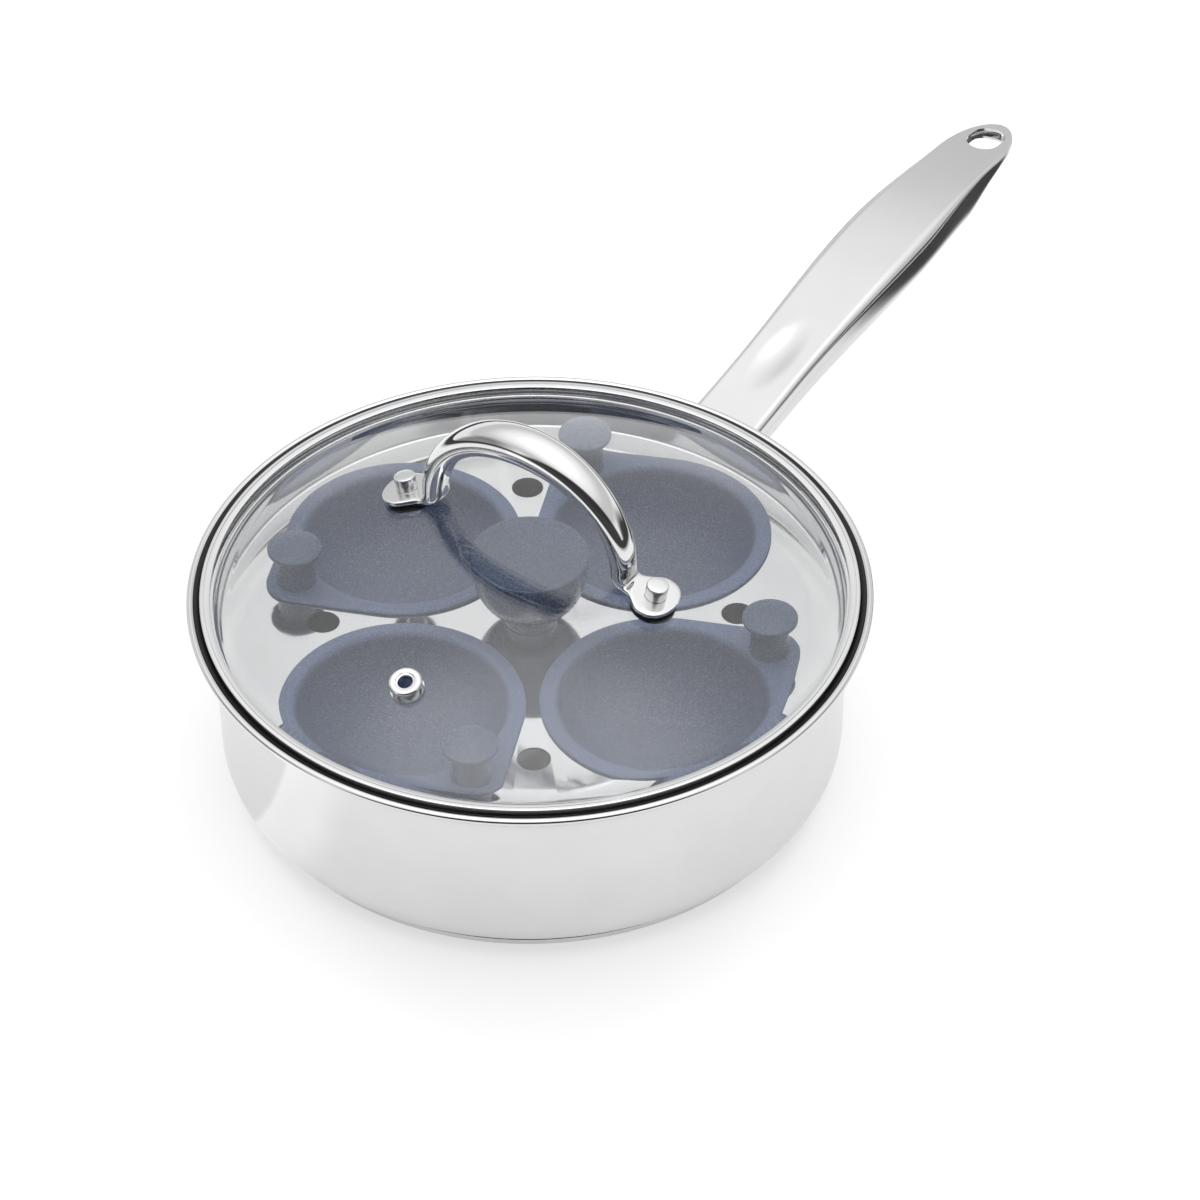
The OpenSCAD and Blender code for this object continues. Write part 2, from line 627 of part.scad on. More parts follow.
// Lid handle: a bent steel loop, round at the top and pressed flat round each bolt
seat = 0.05;
tab_z = seat + pad_t;
tab_mid = tab_z + lug_t / 2;
tab_y = bolt_reach + tab_mid * sin(tab_tilt);
tab_mid_z = dome_z(bolt_reach) + tab_mid * cos(tab_tilt);
// From the bolt back to where the bend starts, along the tab
tab_run = (tab_y + foot_bend_r * sin(tab_tilt) - loop_half_span - foot_bend_r) / cos(tab_tilt);
loop_foot_z = tab_mid_z + tab_run * sin(tab_tilt) + foot_bend_r * cos(tab_tilt);
loop_top_z = glass_top_z + loop_rise;
tab_end_w = 2 * lug_half_w - 1.8;
loop_n = 28;
bend_n = 8;
loop_section_n = 20;
loop_half = concat(
  [for (i = [0:loop_n]) let (a = 90 * i / loop_n)
    [loop_half_span * sin(a), loop_foot_z + (loop_top_z - loop_foot_z) * cos(a)]],
  [for (i = [1:bend_n]) let (a = 180 + (90 - tab_tilt) * i / bend_n)
    [loop_half_span + foot_bend_r + foot_bend_r * cos(a), loop_foot_z + foot_bend_r * sin(a)]],
  [[tab_y - lug_end_r / 2 * cos(tab_tilt), tab_mid_z + lug_end_r / 2 * sin(tab_tilt)]]);
loop_last = len(loop_half) - 1;
function loop_width(i) =
  i <= loop_n ? glide(i, 0, loop_w, loop_n, foot_w) : glide(i, loop_n, foot_w, loop_last, tab_end_w);
function loop_depth(i) =
  i <= loop_n - 8 ? glide(i, 0, loop_t, loop_n - 8, foot_w - 1.4)
  : glide(i, loop_n - 8, foot_w - 1.4, loop_last - 1, lug_t - 0.1);
function loop_point(k) =
  let (p = loop_half[abs(k)]) [k < 0 ? -p[0] : p[0], p[1]];
function loop_ring(k) =
  let (
    p = loop_point(k),
    run = loop_point(min(k + 1, loop_last)) - loop_point(max(k - 1, -loop_last)),
    along = run / norm(run),
    out = [-along[1], along[0]],
    i = abs(k),
    power = glide(i, loop_n - 8, 2.2, loop_last - 1, 4)
  )
  [for (j = [0:loop_section_n - 1]) let (
      t = -360 * j / loop_section_n,
      side = loop_width(i) / 2 * super_cos(t, power),
      up = loop_depth(i) / 2 * super_sin(t, power)
    ) [side, p[0] + out[0] * up, p[1] + out[1] * up]];
function tube_faces(rings, m) = concat(
  [[for (j = [0:m - 1]) j]],
  [[for (j = [0:m - 1]) (rings - 1) * m + m - 1 - j]],
  [for (i = [0:rings - 2], j = [0:m - 1]) each let (o = i * m, k = (j + 1) % m)
    quad(o + j, o + m + j, o + m + k, o + k)]);
module lug_outline() {
  for (side = [-1, 1]) translate([side * (lug_half_w - lug_end_r), 0]) circle(r = lug_end_r, $fn = 60);
  square([2 * (lug_half_w - lug_end_r), 2 * lug_end_r], center = true);
}
module lid_handle() {
  rings = [for (k = [-loop_last:loop_last]) loop_ring(k)];
  color([0.85, 0.85, 0.86])
    difference() {
      union() {
        polyhedron([for (ring = rings) each ring], tube_faces(len(rings), loop_section_n));
        at_bolts() translate([0, 0, tab_z]) linear_extrude(lug_t) lug_outline();
      }
      at_bolts() translate([0, 0, tab_z - 1]) cylinder(d = bolt_d + 2 * bolt_gap, h = lug_t + 2, $fn = 36);
    }
}
washer_z = -glass_t - dome_sag(washer_d / 2) - seat - washer_t;
nut_z = washer_z - nut_h;
bolt_end = nut_z + 0.3;
module lid_bolts() {
  color([0.85, 0.85, 0.87])
    at_bolts() {
      translate([0, 0, tab_z + lug_t]) turned(concat(
        [[0, 0]],
        [[bolt_head_d / 2, 0]],
        arc(bolt_head_d / 2 - 0.4, bolt_head_h - 0.4, 0.4, 0, 90, 4),
        [[0, bolt_head_h]]
      ));
      translate([0, 0, bolt_end]) cylinder(d = bolt_d, h = tab_z + lug_t + tiny - bolt_end, $fn = 36);
    }
}
module washer(d, h) {
  difference() {
    cylinder(d = d, h = h, $fn = 60);
    translate([0, 0, -1]) cylinder(d = bolt_d + 2 * bolt_gap, h = h + 2, $fn = 36);
  }
}
module lid_upper_washers() {
  color([0.1, 0.1, 0.11])
    at_bolts() translate([0, 0, seat]) washer(2 * lug_end_r, pad_t);
}
module lid_lower_washers() {
  color([0.1, 0.1, 0.11])
    at_bolts() translate([0, 0, washer_z]) washer(washer_d, washer_t);
}
// Cap nuts: a hexagon with a round blind end
module lid_nuts() {
  nut_cap_h = 1.8;
  flat_r = nut_d / 2 * cos(30) - 0.3;
  color([0.8, 0.8, 0.82])
    at_bolts() translate([0, 0, nut_z])
      difference() {
        union() {
          cylinder(d = nut_d, h = nut_h, $fn = 6);
          turned(concat(
            [[0, 0.5], [0, -nut_cap_h]],
            arc(flat_r - nut_cap_h, 0, nut_cap_h, -90, 0, 5),
            [[flat_r, 0.5]]
          ));
        }
        translate([0, 0, 0.2]) cylinder(d = bolt_d + 2 * tiny, h = nut_h, $fn = 36);
      }
}

// Steam vent: a rolled eyelet through the glass, clinched over a ring below it
vent_seat = 0.05;
module steam_vent() {
  roll = vent_h / 2;
  bore_r = vent_hole_d / 2;
  out_r = vent_d / 2;
  tube_r = vent_tube_d / 2;
  tail = glass_t + vent_seat + 1.4;
  color([0.86, 0.86, 0.87])
    at_vent() turned(concat(
      [[tube_r, -tail], [tube_r, vent_seat]],
      arc(out_r - roll, vent_seat + roll, roll, -90, 90, 10),
      [[out_r - roll - 0.9, vent_h], [out_r - roll - 1.2, vent_h - 0.35], [bore_r + 0.4, vent_h - 0.35]],
      [[bore_r, vent_h - 0.9], [bore_r, -tail]]
    ));
}
module steam_vent_ring() {
  ring_t = 1.2;
  color([0.8, 0.8, 0.81])
    at_vent() translate([0, 0, -glass_t - dome_sag(vent_d / 2) - vent_seat - ring_t])
      difference() {
        cylinder(d = vent_d, h = ring_t, $fn = 60);
        translate([0, 0, -1]) cylinder(d = vent_tube_d + 2 * vent_seat, h = ring_t + 2, $fn = 48);
      }
}

pan_body();
base_core();
base_cap();
handle_bracket();
pan_handle_upper();
pan_handle_lower();
egg_tray();
tray_knob();
tray_knob_screw();
tray_knob_washer();
egg_cup_1();
egg_cup_2();
egg_cup_3();
egg_cup_4();
cup_knob_1();
cup_knob_2();
cup_knob_3();
cup_knob_4();
cup_knob_screw_1();
cup_knob_screw_2();
cup_knob_screw_3();
cup_knob_screw_4();
lid_glass();
lid_band();
lid_handle();
lid_bolts();
lid_upper_washers();
lid_lower_washers();
lid_nuts();
steam_vent();
steam_vent_ring();
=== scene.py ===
"""Egg poacher pan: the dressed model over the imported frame.

Sizes are in millimetres, as in the part's source, and every mesh is made in metres in the row frame.
"""

import math

import bmesh
import bpy
from mathutils import Matrix, Vector


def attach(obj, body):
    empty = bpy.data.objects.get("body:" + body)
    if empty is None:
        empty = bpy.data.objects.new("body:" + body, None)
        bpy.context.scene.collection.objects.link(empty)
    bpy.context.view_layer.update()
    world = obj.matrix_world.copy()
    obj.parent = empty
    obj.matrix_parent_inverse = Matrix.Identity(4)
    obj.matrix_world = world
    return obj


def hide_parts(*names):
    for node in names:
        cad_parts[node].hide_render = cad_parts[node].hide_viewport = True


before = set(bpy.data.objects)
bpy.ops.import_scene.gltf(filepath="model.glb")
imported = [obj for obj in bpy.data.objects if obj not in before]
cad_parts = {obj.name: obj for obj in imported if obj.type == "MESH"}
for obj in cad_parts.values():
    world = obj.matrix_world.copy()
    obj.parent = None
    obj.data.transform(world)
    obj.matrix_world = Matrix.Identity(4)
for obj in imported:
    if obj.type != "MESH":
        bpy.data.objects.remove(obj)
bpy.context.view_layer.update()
MM = 0.001


def rad(a):
    return math.radians(a)


def cosd(a):
    return math.cos(rad(a))


def sind(a):
    return math.sin(rad(a))


# Sizes, as in the part's source, apart from a thinner handle tip, a shallower dimple and the lid's tabs
# Pan and base

SHEET = 0.8
CORNER_R = 10.0
FLARE_R = 12.0
LIP = 116.0
BEAD_R = 1.2
PAN_H = 64.6
WALL_R = 97.3
WALL_IN = WALL_R - SHEET
BASE_H = 3.5
CAP_T = 0.5
BASE_R = WALL_R - 6.8
FLARE_CX = WALL_IN + FLARE_R
FLARE_CZ = PAN_H - BEAD_R - (FLARE_R - BEAD_R) * sind(LIP)
BEAD_CX = FLARE_CX + (FLARE_R - BEAD_R) * cosd(LIP)
BEAD_CZ = FLARE_CZ + (FLARE_R - BEAD_R) * sind(LIP)

# Tray and cups

TRAY_Z = PAN_H - 14.6
TRAY_T = 0.7
TRAY_R = WALL_IN - 0.6
TRAY_CORNER_R = 1.6
TRAY_LIP_R = 2.4
TRAY_HOLE_R = 5.0
CUP_GAP = 4.1
FLANGE_R = (TRAY_R - TRAY_T - 3.0 - CUP_GAP / math.sqrt(2)) / (1 + math.sqrt(2))
CUP_REACH = (2 * FLANGE_R + CUP_GAP) / math.sqrt(2)
BOWL_R = FLANGE_R - 5.4
CUP_T = 1.4
CUP_TURN = -9.4
BOWL_DEPTH = 24.0
MOUTH_R = 2.2
KNOB_REACH = FLANGE_R + 1.7
KNOB_TURN = 77.0
TAB_R = 9.5
FLANGE_Z = TRAY_Z + 0.1
CUP_TOP = FLANGE_Z + CUP_T
STEAM_REACH = CUP_REACH + 8.2
TRAY_KNOB_R = CUP_REACH - FLANGE_R - 0.2
TRAY_KNOB_H = 26.4

# Lid

BAND_R = WALL_IN + 4.4
BAND_TOP = PAN_H + 0.7
BAND_W = 3.3
BAND_T = 0.45
REST_GAP = 0.3
GLASS_T = 3.0
GLASS_R = BAND_R - BAND_W + 1.2
GLASS_FLAT = BAND_TOP - BAND_T - 0.1
DOME_RISE = 19.4
FLAT_FROM = GLASS_R - 3.2
DOME_EDGE = FLAT_FROM - 4.0
DOME_TILT = 2 * math.degrees(math.atan(DOME_RISE / FLAT_FROM))
DOME_R = DOME_EDGE / sind(DOME_TILT)
BLEND_R = 4.0 / sind(DOME_TILT)
GLASS_TOP = GLASS_FLAT + DOME_RISE

BOLT_REACH = 45.3
BOLT_TILT = math.degrees(math.asin(BOLT_REACH / DOME_R))
SEAT = 0.05
TAB_Z = SEAT + 0.6
LUG_T = 1.7
LUG_W = 8.6
LUG_R = 7.0
BEND_R = 4.0
LUG_NECK_W = 9.0
LOOP_SPAN = 34.5
LOOP_RISE = 33.8
LOOP_W = 13.0
LOOP_FOOT_W = 9.4
LOOP_T = 11.4
LOOP_SIDE_T = 8.0
LOOP_FOOT_T = 7.4
LOOP_POWER = 2.2
BOLT_R = 2.0
BOLT_HOLE_R = 2.2
WASHER_T = 1.3
NUT_T = 2.6
VENT_REACH = 67.0
VENT_TURN = 182.0
VENT_HOLE_R = 3.25
VENT_BORE_R = 2.15
VENT_LOW = -4.45

# Handle

BRACKET_T = 1.2
ROOT_GAP = 0.3
HANDLE_X0 = WALL_R + SEAT + BRACKET_T + ROOT_GAP
HANDLE_X1 = WALL_R + 193.4
HANDLE_L = HANDLE_X1 - HANDLE_X0
HANDLE_Z = PAN_H - 9.6
HANDLE_RISE = 18.3
HANDLE_DROOP = 3.8
NECK_X = HANDLE_X0 + HANDLE_L * 0.2
DIMPLE_X = HANDLE_X0 + HANDLE_L * 0.23
PALM_X = HANDLE_X0 + HANDLE_L * 0.58
CREST_X = HANDLE_X0 + HANDLE_L * 0.7
TONGUE_X = HANDLE_X1 - 26
ROOT_HALF_W = 12.6
NECK_HALF_W = 12.3
PALM_HALF_W = 14.9
TONGUE_HALF_W = 11.2
ROOT_T = 14.0
PALM_T = 18.0
TIP_T = 5.0
HANDLE_SHEET = 0.9
UPPER_SHARE = 0.34
DIMPLE_DEPTH = 0.8
DIMPLE_L = 38
DIMPLE_W = 14
HANG_L = 15.5
HANG_W = 11.5
HANG_EDGE = 4.4

# Steps round the large turned pieces

SEGMENTS = 384


def dome_z(r):
    return GLASS_TOP - DOME_R + math.sqrt(DOME_R * DOME_R - r * r)


def flare_z(r):
    return FLARE_CZ + math.sqrt(FLARE_R * FLARE_R - (FLARE_CX - r) ** 2)


# Mesh helpers


def arc(cx, cz, r, a0, a1, n):
    """Points along a circle, from one angle to another in n steps."""
    turns = [a0 + (a1 - a0) * i / n for i in range(n + 1)]
    return [(cx + r * cosd(a), cz + r * sind(a)) for a in turns]


def mesh_object(name, verts, faces, sharp=30):
    """A smooth object from vertices in millimetres, with its edges over an angle kept sharp."""
    mesh = bpy.data.meshes.new(name)
    mesh.from_pydata([(x * MM, y * MM, z * MM) for x, y, z in verts], [], faces)
    mesh.validate()
    bm = bmesh.new()
    bm.from_mesh(mesh)
    bmesh.ops.remove_doubles(bm, verts=bm.verts, dist=1e-7)
    bmesh.ops.recalc_face_normals(bm, faces=bm.faces)
    bm.to_mesh(mesh)
    bm.free()
    mesh.shade_smooth()
    mesh.set_sharp_from_angle(angle=rad(sharp))
    obj = bpy.data.objects.new(name, mesh)
    bpy.context.scene.collection.objects.link(obj)
    return obj


def lathe_data(profile, segments, closed=False):
    """Vertices and faces of a profile of (radius, height) points turned about Z."""
    verts, rows = [], []
    for r, z in profile:
        if r < 1e-6:
            rows.append([len(verts)] * segments)
            verts.append((0.0, 0.0, z))
        else:
            rows.append(list(range(len(verts), len(verts) + segments)))
            for k in range(segments):
                a = 2 * math.pi * k / segments
                verts.append((r * math.cos(a), r * math.sin(a), z))
    faces = []
    pairs = list(zip(rows, rows[1:]))
    if closed:
        pairs.append((rows[-1], rows[0]))
    for lo, hi in pairs:
        for k in range(segments):
            j = (k + 1) % segments
            face = [lo[k], lo[j], hi[j], hi[k]]
            face = [v for i, v in enumerate(face) if v not in face[:i]]
            if len(face) > 2:
                faces.append(face)
    return verts, faces


def lathe(name, profile, segments, sharp, closed=False):
    """A turned piece."""
    verts, faces = lathe_data(profile, segments, closed)
    return mesh_object(name, verts, faces, sharp)


def placed(data, matrix):
    """Vertices and faces moved by a matrix."""
    verts, faces = data
    return [tuple(matrix @ Vector(v)) for v in verts], faces


def joined(*parts):
    """Several lots of vertices and faces as one."""
    verts, faces = [], []
    for v, f in parts:
        n = len(verts)
        verts += v
        faces += [[i + n for i in face] for face in f]
    return verts, faces


def cut(obj, cutters, sharp):
    """Cuts the closed cutter meshes out of obj and throws the cutters away."""
    for c in cutters:
        mod = obj.modifiers.new("cut", "BOOLEAN")
        mod.operation = "DIFFERENCE"
        mod.solver = "EXACT"
        mod.object = c
    graph = bpy.context.evaluated_depsgraph_get()
    mesh = bpy.data.meshes.new_from_object(obj.evaluated_get(graph))
    obj.modifiers.clear()
    old = obj.data
    obj.data = mesh
    bpy.data.meshes.remove(old)
    mesh.name = obj.name
    mesh.shade_smooth()
    mesh.set_sharp_from_angle(angle=rad(sharp))
    for c in cutters:
        bpy.data.objects.remove(c)


def peg(r, z0, z1, matrix=None, segments=96):
    """A round cutter from z0 to z1, in a frame."""
    data = lathe_data([(0, z0), (r, z0), (r, z1), (0, z1)], segments)
    if matrix is not None:
        data = placed(data, matrix)
    return mesh_object("cutter", *data)


def turn_z(a):
    return Matrix.Rotation(rad(a), 4, "Z")


def at_cup(i):
    return turn_z(CUP_TURN + 90 * i) @ Matrix.Translation((CUP_REACH, 0, 0))


def at_knob(i):
    return at_cup(i) @ turn_z(KNOB_TURN) @ Matrix.Translation((KNOB_REACH, 0, 0))


def at_steam_hole(i):
    return turn_z(CUP_TURN + 45 + 90 * i) @ Matrix.Translation((STEAM_REACH, 0, 0))


def at_bolt(side):
    place = Matrix.Translation((0, BOLT_REACH, dome_z(BOLT_REACH)))
    return turn_z(180 * side) @ place @ Matrix.Rotation(rad(-BOLT_TILT), 4, "X")


def at_vent():
    place = Matrix.Translation((VENT_REACH, 0, dome_z(VENT_REACH)))
    tilt = math.asin(VENT_REACH / DOME_R)
    return turn_z(VENT_TURN) @ place @ Matrix.Rotation(tilt, 4, "Y")


def ease(t):
    """A smooth step from 0 to 1."""
    t = min(1.0, max(0.0, t))
    return t * t * (3 - 2 * t)


def glide(x, x0, v0, x1, v1):
    """A smooth change from v0 at x0 to v1 at x1."""
    return v0 + (v1 - v0) * ease((x - x0) / (x1 - x0))


def power_sin(a, n):
    """The sine for a superellipse of power n."""
    s = sind(a)
    return math.copysign(abs(s) ** (2 / n), s) if abs(s) > 1e-9 else 0.0


def power_cos(a, n):
    c = cosd(a)
    return math.copysign(abs(c) ** (2 / n), c) if abs(c) > 1e-9 else 0.0


# Materials


def new_material(name):
    mat = bpy.data.materials.new(name)
    mat.use_nodes = True
    tree = mat.node_tree
    shader = tree.nodes["Principled BSDF"]
    return mat, tree, shader


def coords(tree, scale=(1, 1, 1)):
    where = tree.nodes.new("ShaderNodeTexCoord")
    mapping = tree.nodes.new("ShaderNodeMapping")
    mapping.inputs["Scale"].default_value = scale
    tree.links.new(where.outputs["Object"], mapping.inputs["Vector"])
    return mapping.outputs["Vector"]


def noise(tree, vector, scale, detail, rough=0.5):
    n = tree.nodes.new("ShaderNodeTexNoise")
    n.inputs["Scale"].default_value = scale
    n.inputs["Detail"].default_value = detail
    n.inputs["Roughness"].default_value = rough
    tree.links.new(vector, n.inputs["Vector"])
    return n.outputs["Fac"]


def ramp(tree, fac, stops):
    r = tree.nodes.new("ShaderNodeValToRGB")
    while len(r.color_ramp.elements) < len(stops):
        r.color_ramp.elements.new(0.5)
    for e, (at, colour) in zip(r.color_ramp.elements, stops):
        e.position = at
        e.color = (*colour, 1)
    tree.links.new(fac, r.inputs["Fac"])
    return r.outputs["Color"]


def remap(tree, value, low, high, to_low=0.0, to_high=1.0):
    node = tree.nodes.new("ShaderNodeMapRange")
    node.inputs["From Min"].default_value = low
    node.inputs["From Max"].default_value = high
    node.inputs["To Min"].default_value = to_low
    node.inputs["To Max"].default_value = to_high
    tree.links.new(value, node.inputs["Value"])
    return node.outputs["Result"]


def spread(tree, fac, span):
    """Stretches the middle of a noise over a span of values."""
    return remap(tree, fac, 0.3, 0.7, *span)


def toward(tree, share, base, colour):
    """Mixes a linked colour toward a constant one."""
    mix = tree.nodes.new("ShaderNodeMix")
    mix.data_type = "RGBA"
    tree.links.new(share, mix.inputs["Factor"])
    tree.links.new(base, mix.inputs["A"])
    mix.inputs["B"].default_value = (*colour, 1)
    return mix.outputs["Result"]


def bump(tree, shader, height, strength, distance):
    b = tree.nodes.new("ShaderNodeBump")
    b.inputs["Strength"].default_value = strength
    b.inputs["Distance"].default_value = distance
    tree.links.new(height, b.inputs["Height"])
    tree.links.new(b.outputs["Normal"], shader.inputs["Normal"])


def emission(tree, strength):
    node = tree.nodes.new("ShaderNodeEmission")
    node.inputs["Strength"].default_value = strength
    return node


def larger(tree, first, second):
    node = tree.nodes.new("ShaderNodeMath")
    node.operation = "MAXIMUM"
    tree.links.new(first, node.inputs[0])
    tree.links.new(second, node.inputs[1])
    return node.outputs[0]


def blend(tree, share, first, second):
    node = tree.nodes.new("ShaderNodeMixShader")
    tree.links.new(share, node.inputs["Fac"])
    tree.links.new(first.outputs[0], node.inputs[1])
    tree.links.new(second.outputs[0], node.inputs[2])
    return node


def product(tree, first, second):
    node = tree.nodes.new("ShaderNodeMath")
    node.operation = "MULTIPLY"
    tree.links.new(first, node.inputs[0])
    tree.links.new(second, node.inputs[1])
    return node.outputs[0]


def direction_ramp(tree, where, axis, stops):
    """Grey values along an axis, from straight away from it (0) to straight along it (1)."""
    dot = tree.nodes.new("ShaderNodeVectorMath")
    dot.operation = "DOT_PRODUCT"
    dot.inputs[1].default_value = axis
    tree.links.new(where, dot.inputs[0])
    return ramp(tree, remap(tree, dot.outputs["Value"], -1, 1), [(at, (v, v, v)) for at, v in stops])


def steel(name, tone, rough, grain=None, grain_depth=0.0):
    """Steel with slight tone and gloss variation, and a fine grain where it is brushed."""
    mat, tree, shader = new_material(name)
    shader.inputs["Metallic"].default_value = 1.0
    flat = coords(tree)
    cloud = noise(tree, flat, 38, 3)
    lo = (tone * 0.97, tone * 0.97, tone * 0.98)
    hi = (tone * 1.02,) * 3
    tree.links.new(ramp(tree, cloud, [(0.3, lo), (0.7, hi)]), shader.inputs["Base Color"])
    if grain:
        lines = noise(tree, coords(tree, grain), 1.0, 2, 0.6)
        tree.links.new(spread(tree, lines, rough), shader.inputs["Roughness"])
        bump(tree, shader, lines, grain_depth, 0.00002)
    else:
        smear = noise(tree, flat, 160, 4, 0.6)
        tree.links.new(spread(tree, smear, rough), shader.inputs["Roughness"])
    return mat


def coated(name, dark, light, rough, speck, speck_amount, depth, rim_highlight=None):
    """Speckled coating or moulded plastic: a cloudy tone with lighter flecks and a fine skin.

    Painted highlight: the rim setting, (from height, to height, times), makes the tone paler toward the top.
    """
    mat, tree, shader = new_material(name)
    flat = coords(tree)
    cloud = noise(tree, flat, 55, 3)
    base = ramp(tree, cloud, [(0.3, dark), (0.7, tuple(d * 1.07 for d in dark))])
    if rim_highlight:
        parts = tree.nodes.new("ShaderNodeSeparateXYZ")
        tree.links.new(flat, parts.inputs["Vector"])
        rim_highlight_share = remap(tree, parts.outputs["Z"], rim_highlight[0] * MM, rim_highlight[1] * MM)
        base = toward(tree, rim_highlight_share, base, [d * rim_highlight[2] for d in dark])
    flecks = noise(tree, flat, speck, 1.0, 0.7)
    mask = ramp(tree, flecks, [(0.54, (0, 0, 0)), (0.68, (speck_amount,) * 3)])
    tree.links.new(toward(tree, mask, base, light), shader.inputs["Base Color"])
    tree.links.new(spread(tree, flecks, rough), shader.inputs["Roughness"])
    bump(tree, shader, noise(tree, flat, speck * 0.8, 2, 0.6), depth, 0.00006)
    return mat


PAN_STEEL = steel("pan_mirror_steel", 0.76, (0.035, 0.07))
TRAY_STEEL = steel("tray_mirror_steel", 0.80, (0.05, 0.10))
LID_STEEL = steel("lid_polished_steel", 0.78, (0.03, 0.06))
HANDLE_STEEL = steel("handle_satin_steel", 0.72, (0.15, 0.20), (25, 1400, 1400), 0.06)
# Near-black steel for painted shade: the crease at the base and the gap round the lid's band.
PAINTED_SHADE_STEEL = steel("painted_shade_steel", 0.05, (0.35, 0.50), (200, 200, 200), 0.2)
BASE_STEEL = steel("base_brushed_steel", 0.76, (0.16, 0.26), (300, 300, 60), 0.15)
CORE_METAL = steel("spreader_aluminium", 0.70, (0.35, 0.50), (180, 180, 180), 0.3)
FIX_STEEL = steel("fastener_steel", 0.78, (0.12, 0.22), (500, 500, 120), 0.1)
CUP_COAT = coated(
    "cup_speckled_coating",
    dark=(0.066, 0.090, 0.165),
    light=(0.36, 0.43, 0.58),
    rough=(0.38, 0.50),
    speck=2600,
    speck_amount=0.6,
    depth=0.16,
    # painted highlight: the cup's tone paler toward its rim and flange
    rim_highlight=(CUP_TOP - 3.5, CUP_TOP - 0.3, 1.5),
)
KNOB_PLASTIC = coated(
    "knob_blue_grey_plastic",
    dark=(0.070, 0.098, 0.165),
    light=(0.13, 0.17, 0.26),
    rough=(0.22, 0.32),
    speck=1500,
    speck_amount=0.18,
    depth=0.06,
)
RUBBER = coated("washer_rubber", (0.02, 0.02, 0.022), (0.05, 0.05, 0.055), (0.55, 0.7), 1800, 0.3, 0.2)


def glass_material():
    """Clear glass that lets light through to what lies under it."""
    mat, tree, shader = new_material("lid_clear_glass")
    flat = coords(tree)
    shader.inputs["Transmission Weight"].default_value = 1.0
    shader.inputs["IOR"].default_value = 1.6
    shader.inputs["Specular IOR Level"].default_value = 0.5
    tint = ramp(tree, noise(tree, flat, 12, 2), [(0.3, (0.955, 0.965, 0.965)), (0.7, (0.97, 0.975, 0.975))])
    tree.links.new(tint, shader.inputs["Base Color"])
    tree.links.new(spread(tree, noise(tree, flat, 60, 2), (0.0, 0.012)), shader.inputs["Roughness"])
    clear = tree.nodes.new("ShaderNodeBsdfTransparent")
    clear.inputs["Color"].default_value = (0.93, 0.94, 0.94, 1)
    path = tree.nodes.new("ShaderNodeLightPath")
    both = blend(tree, path.outputs["Is Shadow Ray"], shader, clear)
    tree.links.new(both.outputs[0], tree.nodes["Material Output"].inputs["Surface"])
    return mat


GLASS = glass_material()


def finish_piece(obj, mat, slot, body, *nodes):
    """Gives a new piece its material and the body that it rides on, and hides the nodes that it replaces.
    The slot argument is not used.
    """
    obj.data.materials.clear()
    obj.data.materials.append(mat)
    if nodes:
        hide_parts(*nodes)
    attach(obj, body)


def dress(node, mat):
    """Gives a solid that the scene keeps as it is its material."""
    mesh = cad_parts[node].data
    if mesh.materials:
        for i in range(len(mesh.materials)):
            mesh.materials[i] = mat
    else:
        mesh.materials.append(mat)


# Pan


def pan_profile():
    d, outer = FLARE_R - BEAD_R, FLARE_R - SHEET
    join = math.degrees(math.acos((outer**2 + d**2 - BEAD_R**2) / (2 * outer * d)))
    start_x = outer * cosd(LIP + join) - d * cosd(LIP)
    start_z = outer * sind(LIP + join) - d * sind(LIP)
    start = math.degrees(math.atan2(start_z, start_x)) + 360
    corner = WALL_R - CORNER_R
    wall = [(WALL_R, z) for z in (18, 24, 30, 36, 42, 48)]
    wall_in = [(WALL_IN, z) for z in (48, 42, 36, 30, 24, 18)]
    return (
        [(0, BASE_H), (30, BASE_H), (60, BASE_H)]
        + arc(corner, BASE_H + CORNER_R, CORNER_R, -90, 0, 20)
        + wall
        + arc(FLARE_CX, FLARE_CZ, outer, 180, LIP + join, 24)
        + arc(BEAD_CX, BEAD_CZ, BEAD_R, start, LIP + 360, 28)
        + arc(FLARE_CX, FLARE_CZ, FLARE_R, LIP, 180, 24)
        + wall_in
        + arc(corner, BASE_H + CORNER_R, CORNER_R - SHEET, 0, -90, 20)
        + [(60, BASE_H + SHEET), (30, BASE_H + SHEET), (0, BASE_H + SHEET)]
    )


pan = lathe("pan_shell", pan_profile(), SEGMENTS, 40)
finish_piece(pan, PAN_STEEL, "pan_steel", "pan", "pan_body")
cap = (
    [(0, 0), (40, 0)]
    + arc(BASE_R - 0.8, 0.8, 0.8, -90, 0, 10)
    + [(BASE_R, BASE_H - 0.25), (BASE_R - 0.12, BASE_H), (BASE_R - CAP_T, BASE_H)]
    + [(BASE_R - CAP_T, CAP_T), (0, CAP_T)]
)
cap = lathe("base_shell", cap, SEGMENTS, 35)
finish_piece(cap, BASE_STEEL, "pan_steel", "pan", "base_cap")
# Painted shade: a real ring at the joint of cap and pan, coloured near-black for the shaded crease there.
seam = [(-0.6, 2.2), (0.05, 2.2), (0.05, 3.2), (-0.02, 3.35), (-0.6, 3.35)]
seam = [(BASE_R + out, z) for out, z in seam]
seam = lathe("base_joint_painted_shade", seam, SEGMENTS, 35, closed=True)
finish_piece(seam, PAINTED_SHADE_STEEL, "pan_steel", "pan")
dress("base_core", CORE_METAL)
dress("handle_bracket", FIX_STEEL)


# Long handle


